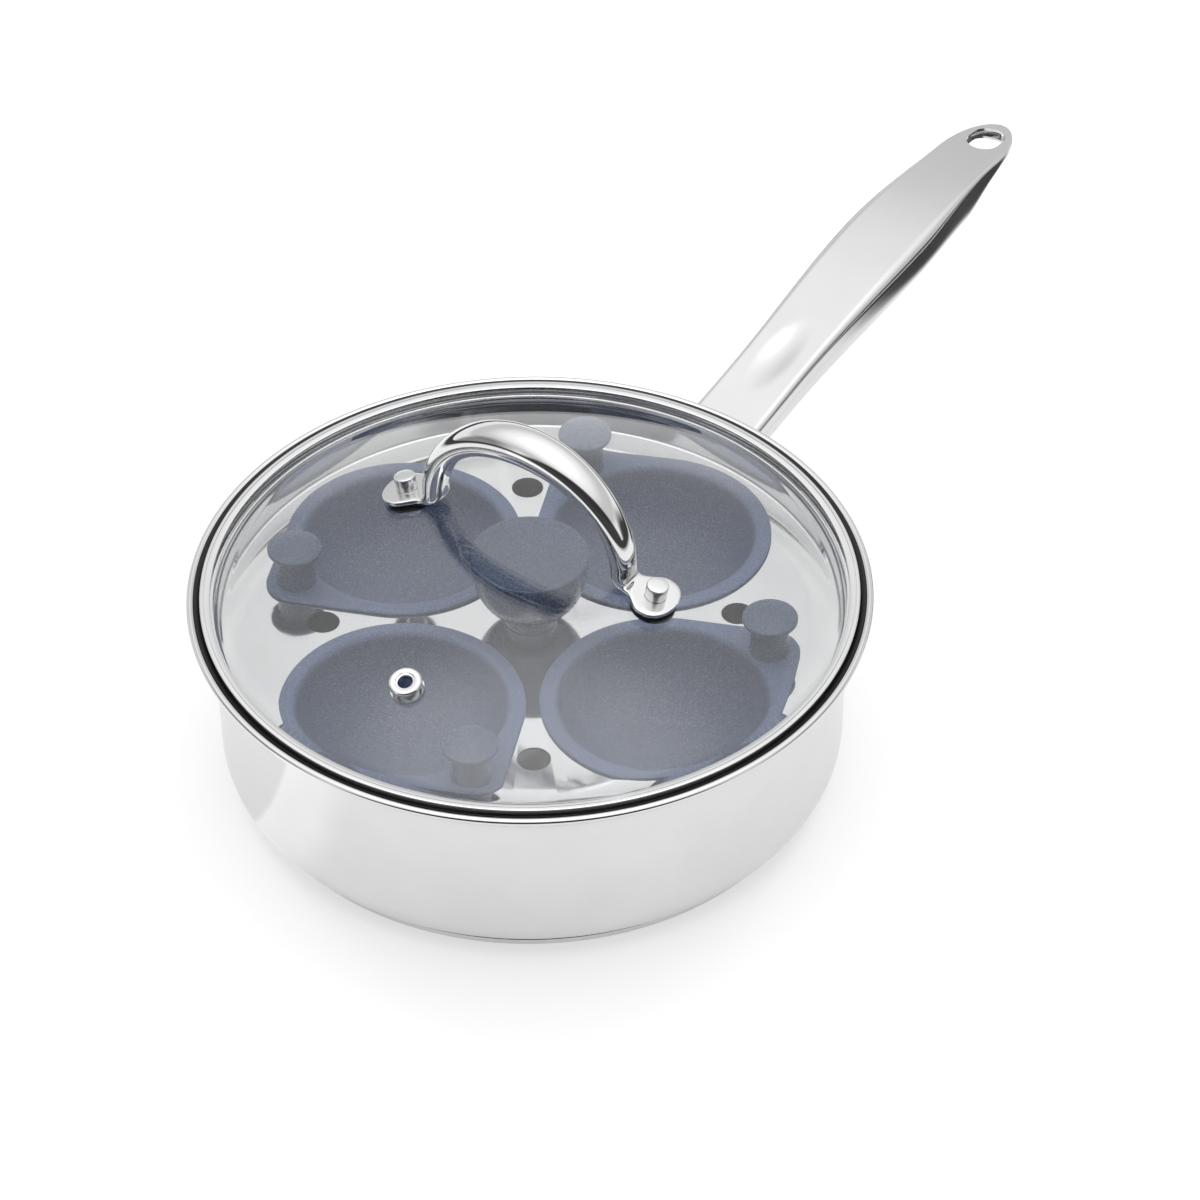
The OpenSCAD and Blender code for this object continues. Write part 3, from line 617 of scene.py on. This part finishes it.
def half_w(x):
    """Half the handle's width at a distance from the pan's middle."""
    if x < NECK_X:
        return glide(x, HANDLE_X0, ROOT_HALF_W, NECK_X, NECK_HALF_W)
    if x < PALM_X:
        return glide(x, NECK_X, NECK_HALF_W, PALM_X, PALM_HALF_W)
    if x < TONGUE_X:
        return glide(x, PALM_X, PALM_HALF_W, TONGUE_X, TONGUE_HALF_W)
    along = (x - TONGUE_X) / (HANDLE_X1 - TONGUE_X)
    return TONGUE_HALF_W * math.sqrt(max(0.0, 1 - along**2))


def thick(x):
    if x < CREST_X:
        return glide(x, HANDLE_X0, ROOT_T, PALM_X, PALM_T)
    return glide(x, CREST_X + 14, PALM_T, TONGUE_X + 10, TIP_T)


def flat_share(x):
    """Share of the width that is flat on top."""
    if x < PALM_X:
        return glide(x, NECK_X, 0.82, PALM_X, 0.75)
    return glide(x, PALM_X, 0.75, TONGUE_X, 0.92)


def top_z(x):
    u = min(1.0, (x - HANDLE_X0) / (CREST_X - HANDLE_X0))
    d = max(0.0, (x - CREST_X) / (HANDLE_X1 - CREST_X))
    return HANDLE_Z + HANDLE_RISE * (1 - (1 - u) ** 2 + ease(u)) / 2 - HANDLE_DROOP * d * d


def dimple(x, y):
    return DIMPLE_DEPTH * max(0.0, 1 - (2 * (x - DIMPLE_X) / DIMPLE_L) ** 2 - (2 * y / DIMPLE_W) ** 2) ** 2


def upper_arc(x, inset):
    hw, rise = half_w(x), UPPER_SHARE * thick(x) - inset
    w, flat = hw - inset, max(0.2, hw * flat_share(x) - inset)
    r = min(w - flat, rise)
    side = [(w, (rise - r) * i / 4) for i in range(4)]
    side += [(flat + (w - flat) * cosd(90 * i / 14), rise - r + r * sind(90 * i / 14)) for i in range(15)]
    top = [(flat * (1 - i / 20), rise) for i in range(1, 40)]
    pts = side + top + [(-y, z) for y, z in reversed(side)]
    seam = top_z(x) - UPPER_SHARE * thick(x)
    return [(x, y, seam + z - (dimple(x, y) if z > rise - 0.01 else 0)) for y, z in pts]


def lower_arc(x, inset):
    w, drop = half_w(x) - inset, (1 - UPPER_SHARE) * thick(x) - inset
    seam = top_z(x) - UPPER_SHARE * thick(x) - SEAT
    turns = [180 * i / 60 for i in range(61)]
    return [(x, w * power_cos(a, 3), seam - (drop - SEAT) * power_sin(a, 3)) for a in turns]


def handle_stations():
    n = 150
    body = [HANDLE_X0 + (TONGUE_X - HANDLE_X0) * i / n for i in range(n)]
    tip = [TONGUE_X + (HANDLE_X1 - 0.03 - TONGUE_X) * sind(90 * i / 30) for i in range(31)]
    return body + tip


def shell_data(section):
    """A sheet of the handle's thickness, between an outer and an inner arc at each station."""
    rings = []
    for x in handle_stations():
        outer = section(x, 0.0)
        inset = min(HANDLE_SHEET, 0.45 * half_w(x))
        rings.append(outer + list(reversed(section(x, inset))))
    m = len(rings[0])
    verts = [v for ring in rings for v in ring]
    faces = []
    for i in range(len(rings) - 1):
        for j in range(m):
            k = (j + 1) % m
            faces.append([i * m + j, i * m + k, (i + 1) * m + k, (i + 1) * m + j])
    for base in (0, (len(rings) - 1) * m):
        for j in range(m // 2 - 1):
            faces.append([base + j, base + j + 1, base + m - 2 - j, base + m - 1 - j])
    return verts, faces


def slot_cutter(extra):
    """The rounded hanging hole, larger by extra all round."""
    x0, half, r = HANDLE_X1 - HANG_EDGE - HANG_L / 2, (HANG_L - HANG_W) / 2, HANG_W / 2 + extra
    ring = [(x0 + half + r * cosd(a), r * sind(a)) for a in range(-90, 91, 4)]
    ring += [(x0 - half + r * cosd(a), r * sind(a)) for a in range(90, 271, 4)]
    n = len(ring)
    verts = [(x, y, z) for z in (50, 90) for x, y in ring]
    faces = [list(range(n)), list(range(n, 2 * n))]
    faces += [[i, (i + 1) % n, n + (i + 1) % n, n + i] for i in range(n)]
    return mesh_object("cutter", verts, faces)


for piece, section, extra, node in (
    ("handle_top_shell", upper_arc, 0.0, "pan_handle_upper"),
    ("handle_under_shell", lower_arc, 0.8, "pan_handle_lower"),
):
    shell = mesh_object(piece, *shell_data(section), sharp=50)
    cut(shell, [slot_cutter(extra)], 50)
    finish_piece(shell, HANDLE_STEEL, "handle_steel", "pan", node)


# Tray


def tray_profile():
    under = TRAY_Z - TRAY_T
    lip_cx = TRAY_R + TRAY_LIP_R
    tip = lip_cx + TRAY_LIP_R * cosd(100)
    lip_cz = flare_z(tip) + REST_GAP - TRAY_LIP_R * sind(100)
    return (
        [(0, under)]
        + arc(TRAY_R - TRAY_CORNER_R, under + TRAY_CORNER_R, TRAY_CORNER_R, -90, 0, 10)
        + arc(lip_cx, lip_cz, TRAY_LIP_R, 180, 100, 14)
        + arc(lip_cx, lip_cz, TRAY_LIP_R + TRAY_T, 100, 180, 14)
        + arc(TRAY_R - TRAY_CORNER_R, under + TRAY_CORNER_R, TRAY_CORNER_R - TRAY_T, 0, -90, 10)
        + [(0, TRAY_Z)]
    )


tray = lathe("tray_shell", tray_profile(), SEGMENTS, 35)
tray_cutters = []
for q in range(4):
    tray_cutters.append(peg(BOWL_R + CUP_T + 0.5, TRAY_Z - 3, TRAY_Z + 2, at_cup(q), 192))
    tray_cutters.append(peg(TRAY_HOLE_R, TRAY_Z - 3, TRAY_Z + 2, at_steam_hole(q)))
tray_cutters.append(peg(1.7, TRAY_Z - 3, TRAY_Z + 2))
cut(tray, tray_cutters, 35)
finish_piece(tray, TRAY_STEEL, "tray_steel", "tray", "egg_tray")
dress("tray_knob_screw", FIX_STEEL)
dress("tray_knob_washer", FIX_STEEL)


def tray_knob_profile():
    foot, crown = 6.0, 1.6
    edge, r, stem = TRAY_KNOB_H - 1.6, TRAY_KNOB_R, 8.2
    pts = [(0, 0), (stem - 0.3, 0), (stem, 0.3), (stem, foot * 0.5), (stem, foot)]
    for a in range(4, 90, 4):
        pts.append((stem + (r - stem) * power_sin(a, 2.2), edge - (edge - foot) * power_cos(a, 2.2)))
    pts += [(r, edge - 0.6), (r, edge - 0.2)] + arc(r - 0.7, edge - 0.1, 0.7, 10, 80, 6)
    for i in range(1, 15):
        pts.append(((r - 0.7) * (1 - i / 14), TRAY_KNOB_H - (crown - 0.6) * (1 - i / 14) ** 2))
    return [(a, b + TRAY_Z) for a, b in pts]


tray_knob = lathe("tray_lifting_knob", tray_knob_profile(), 192, 40)
finish_piece(tray_knob, KNOB_PLASTIC, "knob_plastic", "tray", "tray_knob")


# Egg cups


def outline(phi):
    """Reach of a cup's flange from its middle, at an angle from its thumb tab."""
    phi = abs((phi + 180) % 360 - 180)
    lean = math.degrees(math.acos((FLANGE_R - TAB_R) / KNOB_REACH))
    tip = math.degrees(math.atan2(TAB_R * sind(lean), KNOB_REACH + TAB_R * cosd(lean)))
    if phi >= lean:
        return FLANGE_R
    if phi > tip:
        return FLANGE_R / cosd(lean - phi)
    return KNOB_REACH * cosd(phi) + math.sqrt(max(0.0, TAB_R**2 - (KNOB_REACH * sind(phi)) ** 2))


def bowl_arc(r, depth, z):
    """A bowl's profile, from near its lowest point to its mouth."""
    turns = [90 * k / 26 for k in range(1, 27)]
    return [(r * power_sin(a, 2.3), z - depth * power_cos(a, 2.3)) for a in turns]


def cup_data(i):
    """One cup: a bowl, a rounded mouth and a flange that falls to its edge and runs out into the tab."""
    n, verts, rows = 300, [], []
    inner = bowl_arc(BOWL_R, BOWL_DEPTH - MOUTH_R, CUP_TOP - MOUTH_R)
    mouth = list(reversed(arc(BOWL_R + MOUTH_R, CUP_TOP - MOUTH_R, MOUTH_R, 90, 180, 10)))[1:]
    outer = list(reversed(bowl_arc(BOWL_R + CUP_T, BOWL_DEPTH, FLANGE_Z)))
    edge_r, fall, foot = 0.5, 0.4, BOWL_R + CUP_T + 0.6
    edge = arc(-edge_r, -fall - edge_r, edge_r, 60, 0, 4) + arc(-edge_r, -CUP_T + edge_r, edge_r, 0, -90, 6)
    for k in range(n):
        a = 360 * k / n
        reach = outline(a - KNOB_TURN)
        row = list(inner) + list(mouth)
        first, last = BOWL_R + MOUTH_R, reach - edge_r
        for t in (0.15, 0.3, 0.45, 0.6, 0.75, 0.9, 1.0):
            drop = fall * max(0.0, 1 - (last - first) * (1 - t) / 3.0) ** 2
            row.append((first + (last - first) * t, CUP_TOP - drop))
        row += [(reach + dx, CUP_TOP + dz) for dx, dz in edge]
        row += [(foot + (reach - edge_r - foot) * t, FLANGE_Z) for t in (0.66, 0.33, 0.0)]
        row += outer
        rows.append([(r * cosd(a), r * sind(a), z) for r, z in row])
    m = len(rows[0])
    for row in rows:
        verts += row
    faces = []
    for k in range(n):
        j = (k + 1) % n
        faces += [[k * m + q, j * m + q, j * m + q + 1, k * m + q + 1] for q in range(m - 1)]
    low_in, low_out = len(verts), len(verts) + 1
    verts += [(0, 0, CUP_TOP - BOWL_DEPTH), (0, 0, FLANGE_Z - BOWL_DEPTH)]
    for k in range(n):
        j = (k + 1) % n
        faces += [[low_in, j * m, k * m], [low_out, k * m + m - 1, j * m + m - 1]]
    return placed((verts, faces), at_cup(i))


def cup_knob_profile():
    cap, stem, edge, h = 8.4, 5.9, 11.2, 14.4
    pts = [(0, 0), (stem + 0.2, 0), (stem + 0.05, 2), (stem - 0.1, 6)]
    pts += arc(stem + 1.0, edge - 1.2, 1.2, 180, 90, 8) + [(cap - 0.9, edge)]
    pts += arc(cap - 0.6, edge + 0.6, 0.6, -80, 0, 6) + arc(cap - 0.6, edge + 1.1, 0.6, 0, 75, 6)
    pts += [((cap - 0.5) * (1 - k / 12), h - 1.5 * (1 - k / 12) ** 2) for k in range(1, 13)]
    return [(r, z + CUP_TOP) for r, z in pts]


for q in range(4):
    number = str(q + 1)
    cup = mesh_object("egg_cup_shell_" + number, *cup_data(q), sharp=45)
    finish_piece(cup, CUP_COAT, "cup_coating", "cup_" + number, "egg_cup_" + number)
    knob = placed(lathe_data(cup_knob_profile(), 128), at_knob(q))
    knob = mesh_object("cup_mushroom_knob_" + number, *knob, sharp=40)
    finish_piece(knob, KNOB_PLASTIC, "knob_plastic", "cup_" + number, "cup_knob_" + number)
    dress("cup_knob_screw_" + number, FIX_STEEL)


# Lid


def glass_face(drop):
    """One face of the glass, from its crown to its flat edge, at a depth below the top face."""
    pts = []
    for i in range(41):
        a = DOME_TILT * i / 40
        pts.append(((DOME_R - drop) * sind(a), GLASS_TOP - DOME_R + (DOME_R - drop) * cosd(a)))
    for i in range(1, 9):
        a = DOME_TILT * (1 - i / 8)
        bend = BLEND_R + drop
        pts.append((FLAT_FROM - bend * sind(a), GLASS_FLAT + BLEND_R - bend * cosd(a)))
    return pts


glass_section = (
    glass_face(GLASS_T)
    + arc(GLASS_R - 0.5, GLASS_FLAT - GLASS_T + 0.5, 0.5, -90, 0, 6)
    + arc(GLASS_R - 0.5, GLASS_FLAT - 0.5, 0.5, 0, 90, 6)
    + list(reversed(glass_face(0)))
)
glass = lathe("lid_glass_dome", glass_section, SEGMENTS, 40)
holes = ((BOLT_HOLE_R, at_bolt(0)), (BOLT_HOLE_R, at_bolt(1)), (VENT_HOLE_R, at_vent()))
cut(glass, [peg(r, -8, 6, matrix) for r, matrix in holes], 40)
finish_piece(glass, GLASS, "lid_glass", "lid", "lid_glass")


def band_profile():
    """The band: a groove that holds the glass's edge, a foot on the pan's flare and a fine line on top."""
    groove = GLASS_R + 0.1
    sole = GLASS_FLAT - GLASS_T - 0.1
    inside = BAND_R - BAND_W
    foot_r = BAND_R - 0.5
    foot_z = flare_z(foot_r) + REST_GAP
    heel_z = max(sole - BAND_T, flare_z(groove) + REST_GAP)
    top = [(2.15, 0), (2.05, 0.3), (1.85, 0.3), (1.75, 0), (0.25, 0), (0.08, 0.08), (0, 0.25), (0, BAND_T)]
    return (
        [(inside - 0.8, sole - BAND_T), (groove - 0.4, sole - BAND_T), (groove, heel_z), (foot_r, foot_z)]
        + [(BAND_R - 0.12, foot_z + 0.2), (BAND_R, foot_z + 0.5)]
        + arc(BAND_R - 0.5, BAND_TOP - 0.5, 0.5, 0, 90, 8)
        + [(inside + out, BAND_TOP - down) for out, down in top]
        + [(groove, BAND_TOP - BAND_T), (groove, sole), (inside - 0.8, sole)]
    )


band = lathe("lid_rolled_band", band_profile(), SEGMENTS, 35, closed=True)
finish_piece(band, LID_STEEL, "lid_steel", "lid", "lid_band")
# Painted shade: a near-black ring on the lid, just above the pan's flare, for the shadowed gap between the
# rim's bead and the band.
gap_shade_r = [BAND_R + out for out in (-0.2, 0.4, 0.9, 1.4, 1.75)]
gap_shade = [(r, flare_z(r) + 0.12) for r in gap_shade_r] + [(r, flare_z(r) + 0.34) for r in reversed(gap_shade_r)]
gap_shade = lathe("lid_gap_painted_shade", gap_shade, SEGMENTS, 35, closed=True)
finish_piece(gap_shade, PAINTED_SHADE_STEEL, "lid_steel", "lid")


def loop_data():
    """The loop: an arch over the dome that bends out and flattens into an oval tab round each bolt."""
    tab_mid = TAB_Z + LUG_T / 2
    tab_y = BOLT_REACH + tab_mid * sind(BOLT_TILT)
    tab_z = dome_z(BOLT_REACH) + tab_mid * cosd(BOLT_TILT)
    run = (tab_y + BEND_R * sind(BOLT_TILT) - LOOP_SPAN - BEND_R) / cosd(BOLT_TILT)
    foot_z = tab_z + run * sind(BOLT_TILT) + BEND_R * cosd(BOLT_TILT)
    top = GLASS_TOP + LOOP_RISE
    half = []
    arch, bend, flat = 80, 18, 26
    for i in range(arch + 1):
        a = 90 * i / arch
        p = (LOOP_SPAN * sind(a), foot_z + (top - foot_z) * cosd(a))
        width = glide(i, 0, LOOP_W, arch, LOOP_FOOT_W)
        half.append((p, width, glide(i, 0, LOOP_T, arch * 0.72, LOOP_SIDE_T), LOOP_POWER))
    for i in range(1, bend + 1):
        a = 180 + (90 - BOLT_TILT) * i / bend
        p = (LOOP_SPAN + BEND_R + BEND_R * cosd(a), foot_z + BEND_R * sind(a))
        t = i / bend
        width, depth = glide(t, 0, LOOP_FOOT_W, 1, LUG_NECK_W), glide(t, 0, LOOP_FOOT_T, 0.95, LUG_T)
        half.append((p, width, depth, glide(t, 0, LOOP_POWER, 1, 5)))
    for i in range(1, flat + 1):
        s = -run + (run + LUG_R - 0.02) * sind(90 * i / flat)
        if s > 0:
            width = 2 * LUG_W * math.sqrt(max(0.0, 1 - (s / LUG_R) ** 2.4))
        else:
            width = glide(s, -run, LUG_NECK_W, -0.5, 2 * LUG_W)
        half.append(((tab_y + s * cosd(BOLT_TILT), tab_z - s * sind(BOLT_TILT)), width, LUG_T, 7))
    thin = arch - 12
    start = half[thin][2]
    for i in range(thin, arch + 1):
        p, w, d, n = half[i]
        half[i] = (p, w, glide(i, thin, start, arch, LOOP_FOOT_T), n)
    path = [((-y, z), w, d, n) for (y, z), w, d, n in reversed(half[1:])] + half
    ring_n, verts = 64, []
    for k, (p, w, d, n) in enumerate(path):
        q0, q1 = path[max(0, k - 1)][0], path[min(len(path) - 1, k + 1)][0]
        dy, dz = q1[0] - q0[0], q1[1] - q0[1]
        length = math.hypot(dy, dz)
        oy, oz = -dz / length, dy / length
        for j in range(ring_n):
            t = 360 * j / ring_n
            side, up = w / 2 * power_cos(t, n), d / 2 * power_sin(t, n)
            verts.append((side, p[0] + oy * up, p[1] + oz * up))
    faces = [list(range(ring_n)), list(range((len(path) - 1) * ring_n, len(path) * ring_n))]
    for i in range(len(path) - 1):
        for j in range(ring_n):
            k = (j + 1) % ring_n
            faces.append([i * ring_n + j, i * ring_n + k, (i + 1) * ring_n + k, (i + 1) * ring_n + j])
    return verts, faces


loop = mesh_object("lid_loop_handle", *loop_data(), sharp=40)
finish_piece(loop, LID_STEEL, "lid_steel", "lid", "lid_handle")

head_z = TAB_Z + LUG_T
bolt_low = -GLASS_T - WASHER_T - NUT_T - 0.1
bolt = (
    [(0, bolt_low), (BOLT_R - 0.1, bolt_low), (BOLT_R, bolt_low + 0.1)]
    + [(BOLT_R, head_z), (3.1, head_z), (3.4, head_z + 0.3)]
    + arc(2.9, head_z + 4.1, 0.5, 0, 80, 8)
    + [(1.5, head_z + 4.68), (0, head_z + 4.7)]
)
bolts = joined(*[placed(lathe_data(bolt, 96), at_bolt(side)) for side in (0, 1)])
bolts = mesh_object("lid_round_bolts", *bolts, sharp=40)
finish_piece(bolts, FIX_STEEL, "fastener_steel", "lid", "lid_bolts")
dress("lid_upper_washers", RUBBER)
dress("lid_lower_washers", RUBBER)
dress("lid_nuts", FIX_STEEL)

vent_roll = 1.1
vent = (
    [(3.1, VENT_LOW), (3.1, SEAT)]
    + arc(5.1 - vent_roll, SEAT + vent_roll, vent_roll, -90, 90, 16)
    + [(3.3, 2.2), (3.0, 2.12), (2.85, 1.85), (2.6, 1.8)]
    + arc(VENT_BORE_R + 0.45, 1.35, 0.45, 90, 180, 6)
    + [(VENT_BORE_R, VENT_LOW)]
)
vent = placed(lathe_data(vent, 128, closed=True), at_vent())
vent = mesh_object("steam_vent_eyelet", *vent, sharp=35)
finish_piece(vent, LID_STEEL, "lid_steel", "lid", "steam_vent")
dress("steam_vent_ring", FIX_STEEL)


# Camera, floor, light

VIEW_TURN = 54.6
SENSOR_MM = 36
FRAME_PX = 1200
FOCAL_PX = 4051.1
KEY_POWER = 2.4


def from_view(x, y, z):
    """A point given with X to the photograph's right and Y away from it, in the row frame."""
    return turn_z(-VIEW_TURN) @ Vector((x, y, z))


def make_camera():
    """The photograph's camera: its place, the turn away from the row frame's origin, and its roll."""
    distance, elevation = 1.2809, 0.7439
    yaw, pitch, roll = 0.0172, 0.0342, -0.0192
    place = Vector((0, -distance * math.cos(elevation), distance * math.sin(elevation)))
    ahead = -place.normalized()
    right = Vector((1, 0, 0))
    up = right.cross(ahead)
    level = ahead * math.cos(yaw) + right * math.sin(yaw)
    look = level * math.cos(pitch) + up * math.sin(pitch)
    look.normalize()
    side = look.cross(up).normalized()
    top = side.cross(look)
    rolled_side = side * math.cos(roll) + top * math.sin(roll)
    rolled_top = -side * math.sin(roll) + top * math.cos(roll)
    basis = Matrix((rolled_side, rolled_top, -look)).transposed().to_4x4()
    data = bpy.data.cameras.new("camera")
    data.sensor_width = SENSOR_MM
    data.lens = FOCAL_PX / FRAME_PX * SENSOR_MM
    data.clip_start = 0.05
    data.clip_end = 20
    camera = bpy.data.objects.new("camera", data)
    camera.matrix_world = turn_z(-VIEW_TURN) @ Matrix.Translation(place) @ basis
    bpy.context.scene.collection.objects.link(camera)
    bpy.context.scene.camera = camera


def make_floor():
    """White for the camera, with the object's soft shadow.

    Metal sees it pale near the object, with a painted bright sector, a painted reflection on the pan's wall,
    and dark beyond the table and in a painted dark patch behind the handle, a painted reflection in the
    handle.
    """
    data = bpy.data.meshes.new("floor")
    s, z = 6.0, -0.0004
    data.from_pydata([(-s, -s, z), (s, -s, z), (s, s, z), (-s, s, z)], [], [(0, 1, 2, 3)])
    floor = bpy.data.objects.new("floor", data)
    bpy.context.scene.collection.objects.link(floor)
    mat, tree, shader = new_material("pale_floor")
    shader.inputs["Specular IOR Level"].default_value = 0.0
    shader.inputs["Roughness"].default_value = 1.0
    where = coords(tree)
    tone = ramp(tree, noise(tree, where, 3, 2), [(0.3, (0.55, 0.55, 0.55)), (0.7, (0.56, 0.56, 0.56))])
    tree.links.new(tone, shader.inputs["Base Color"])
    path = tree.nodes.new("ShaderNodeLightPath")
    round_pan = tree.nodes.new("ShaderNodeVectorMath")
    round_pan.operation = "NORMALIZE"
    tree.links.new(where, round_pan.inputs[0])
    round_pan = round_pan.outputs["Vector"]
    # Painted light: a brighter floor sector that only glossy rays see, a painted reflection band on the
    # pan's wall.
    painted_sector_stops = [(0.924, 0.0), (0.929, 1.0), (0.975, 0.75), (0.992, 0.0)]
    painted_bright_sector = product(
        tree,
        direction_ramp(tree, round_pan, from_view(-0.588, -0.809, 0), painted_sector_stops),
        direction_ramp(tree, round_pan, from_view(-1, 0, 0), [(0.78, 0.0), (0.83, 1.0)]),
    )
    sector_reflection_glow = blend(tree, painted_bright_sector, emission(tree, 0.40), emission(tree, 0.60))
    shine = blend(tree, path.outputs["Is Glossy Ray"], emission(tree, 0.0), sector_reflection_glow)
    straight = larger(tree, path.outputs["Is Camera Ray"], path.outputs["Is Transmission Ray"])
    shine = blend(tree, straight, shine, emission(tree, 0.50))
    table = tree.nodes.new("ShaderNodeAddShader")
    tree.links.new(shader.outputs[0], table.inputs[0])
    tree.links.new(shine.outputs[0], table.inputs[1])
    far = tree.nodes.new("ShaderNodeBsdfDiffuse")
    far.inputs["Color"].default_value = (0.05, 0.05, 0.05, 1)
    length = tree.nodes.new("ShaderNodeVectorMath")
    length.operation = "LENGTH"
    tree.links.new(where, length.inputs[0])
    near = remap(tree, length.outputs["Value"], 0.75, 0.45)
    # Painted shade: a dark floor patch behind the handle that the camera doesn't see, a painted dark
    # reflection in the handle.
    dark_patch_distance = tree.nodes.new("ShaderNodeVectorMath")
    dark_patch_distance.operation = "DISTANCE"
    dark_patch_distance.inputs[1].default_value = from_view(0.29, 0.20, 0)
    tree.links.new(where, dark_patch_distance.inputs[0])
    clear = remap(tree, dark_patch_distance.outputs["Value"], 0.09, 0.12)
    pale = product(tree, near, clear)
    both = blend(tree, larger(tree, path.outputs["Is Camera Ray"], pale), far, table)
    tree.links.new(both.outputs[0], tree.nodes["Material Output"].inputs["Surface"])
    floor.data.materials.append(mat)


def make_world():
    """White for the camera. Metal and glass see a pale studio that is brightest overhead.

    It is dark low in front and in a spot on the right, and a little darker on the far left.
    """
    world = bpy.data.worlds.new("studio")
    bpy.context.scene.world = world
    world.use_nodes = True
    tree = world.node_tree
    tree.nodes.clear()
    where = tree.nodes.new("ShaderNodeTexCoord").outputs["Generated"]
    low = [(0.0, 0.4), (0.5, 0.5), (0.60, 0.5), (0.65, 0.34), (0.75, 0.36)]
    high = [(0.81, 0.45), (0.835, 0.5), (0.93, 0.62), (0.975, 0.95)]
    height = direction_ramp(tree, where, Vector((0, 0, 1)), low + high)
    front = direction_ramp(tree, where, from_view(0, -0.94, -0.34), [(0.71, 1.0), (0.76, 0.06)])
    left = direction_ramp(tree, where, from_view(-1, 0, 0), [(0.93, 1.0), (0.98, 0.3)])
    right = direction_ramp(tree, where, from_view(0.97, 0, -0.25), [(0.93, 1.0), (0.97, 0.06)])
    room = product(tree, product(tree, height, front), product(tree, left, right))
    studio = tree.nodes.new("ShaderNodeBackground")
    studio.inputs["Strength"].default_value = 2.0
    tree.links.new(room, studio.inputs["Color"])
    white = tree.nodes.new("ShaderNodeBackground")
    white.inputs["Color"].default_value = (1, 1, 1, 1)
    path = tree.nodes.new("ShaderNodeLightPath")
    both = blend(tree, path.outputs["Is Camera Ray"], studio, white)
    out = tree.nodes.new("ShaderNodeOutputWorld")
    tree.links.new(both.outputs[0], out.inputs["Surface"])


def softbox(name, place, aim, size, watts):
    data = bpy.data.lights.new(name, "AREA")
    data.shape = "RECTANGLE"
    data.size, data.size_y = size
    data.energy = watts
    lamp = bpy.data.objects.new(name, data)
    at = from_view(*place)
    beam = from_view(*aim) - at
    lamp.location = at
    lamp.rotation_euler = beam.to_track_quat("-Z", "Y").to_euler()
    lamp.visible_glossy = False
    lamp.visible_transmission = False
    bpy.context.scene.collection.objects.link(lamp)


make_camera()
make_floor()
make_world()
softbox("key_left", (-0.75, 0.85, 0.95), (0, 0, 0.05), (0.4, 0.4), KEY_POWER)
softbox("key_right", (0.75, 0.85, 0.95), (0, 0, 0.05), (0.4, 0.4), KEY_POWER)

bpy.context.scene.view_settings.view_transform = "Standard"
bpy.context.view_layer.update()
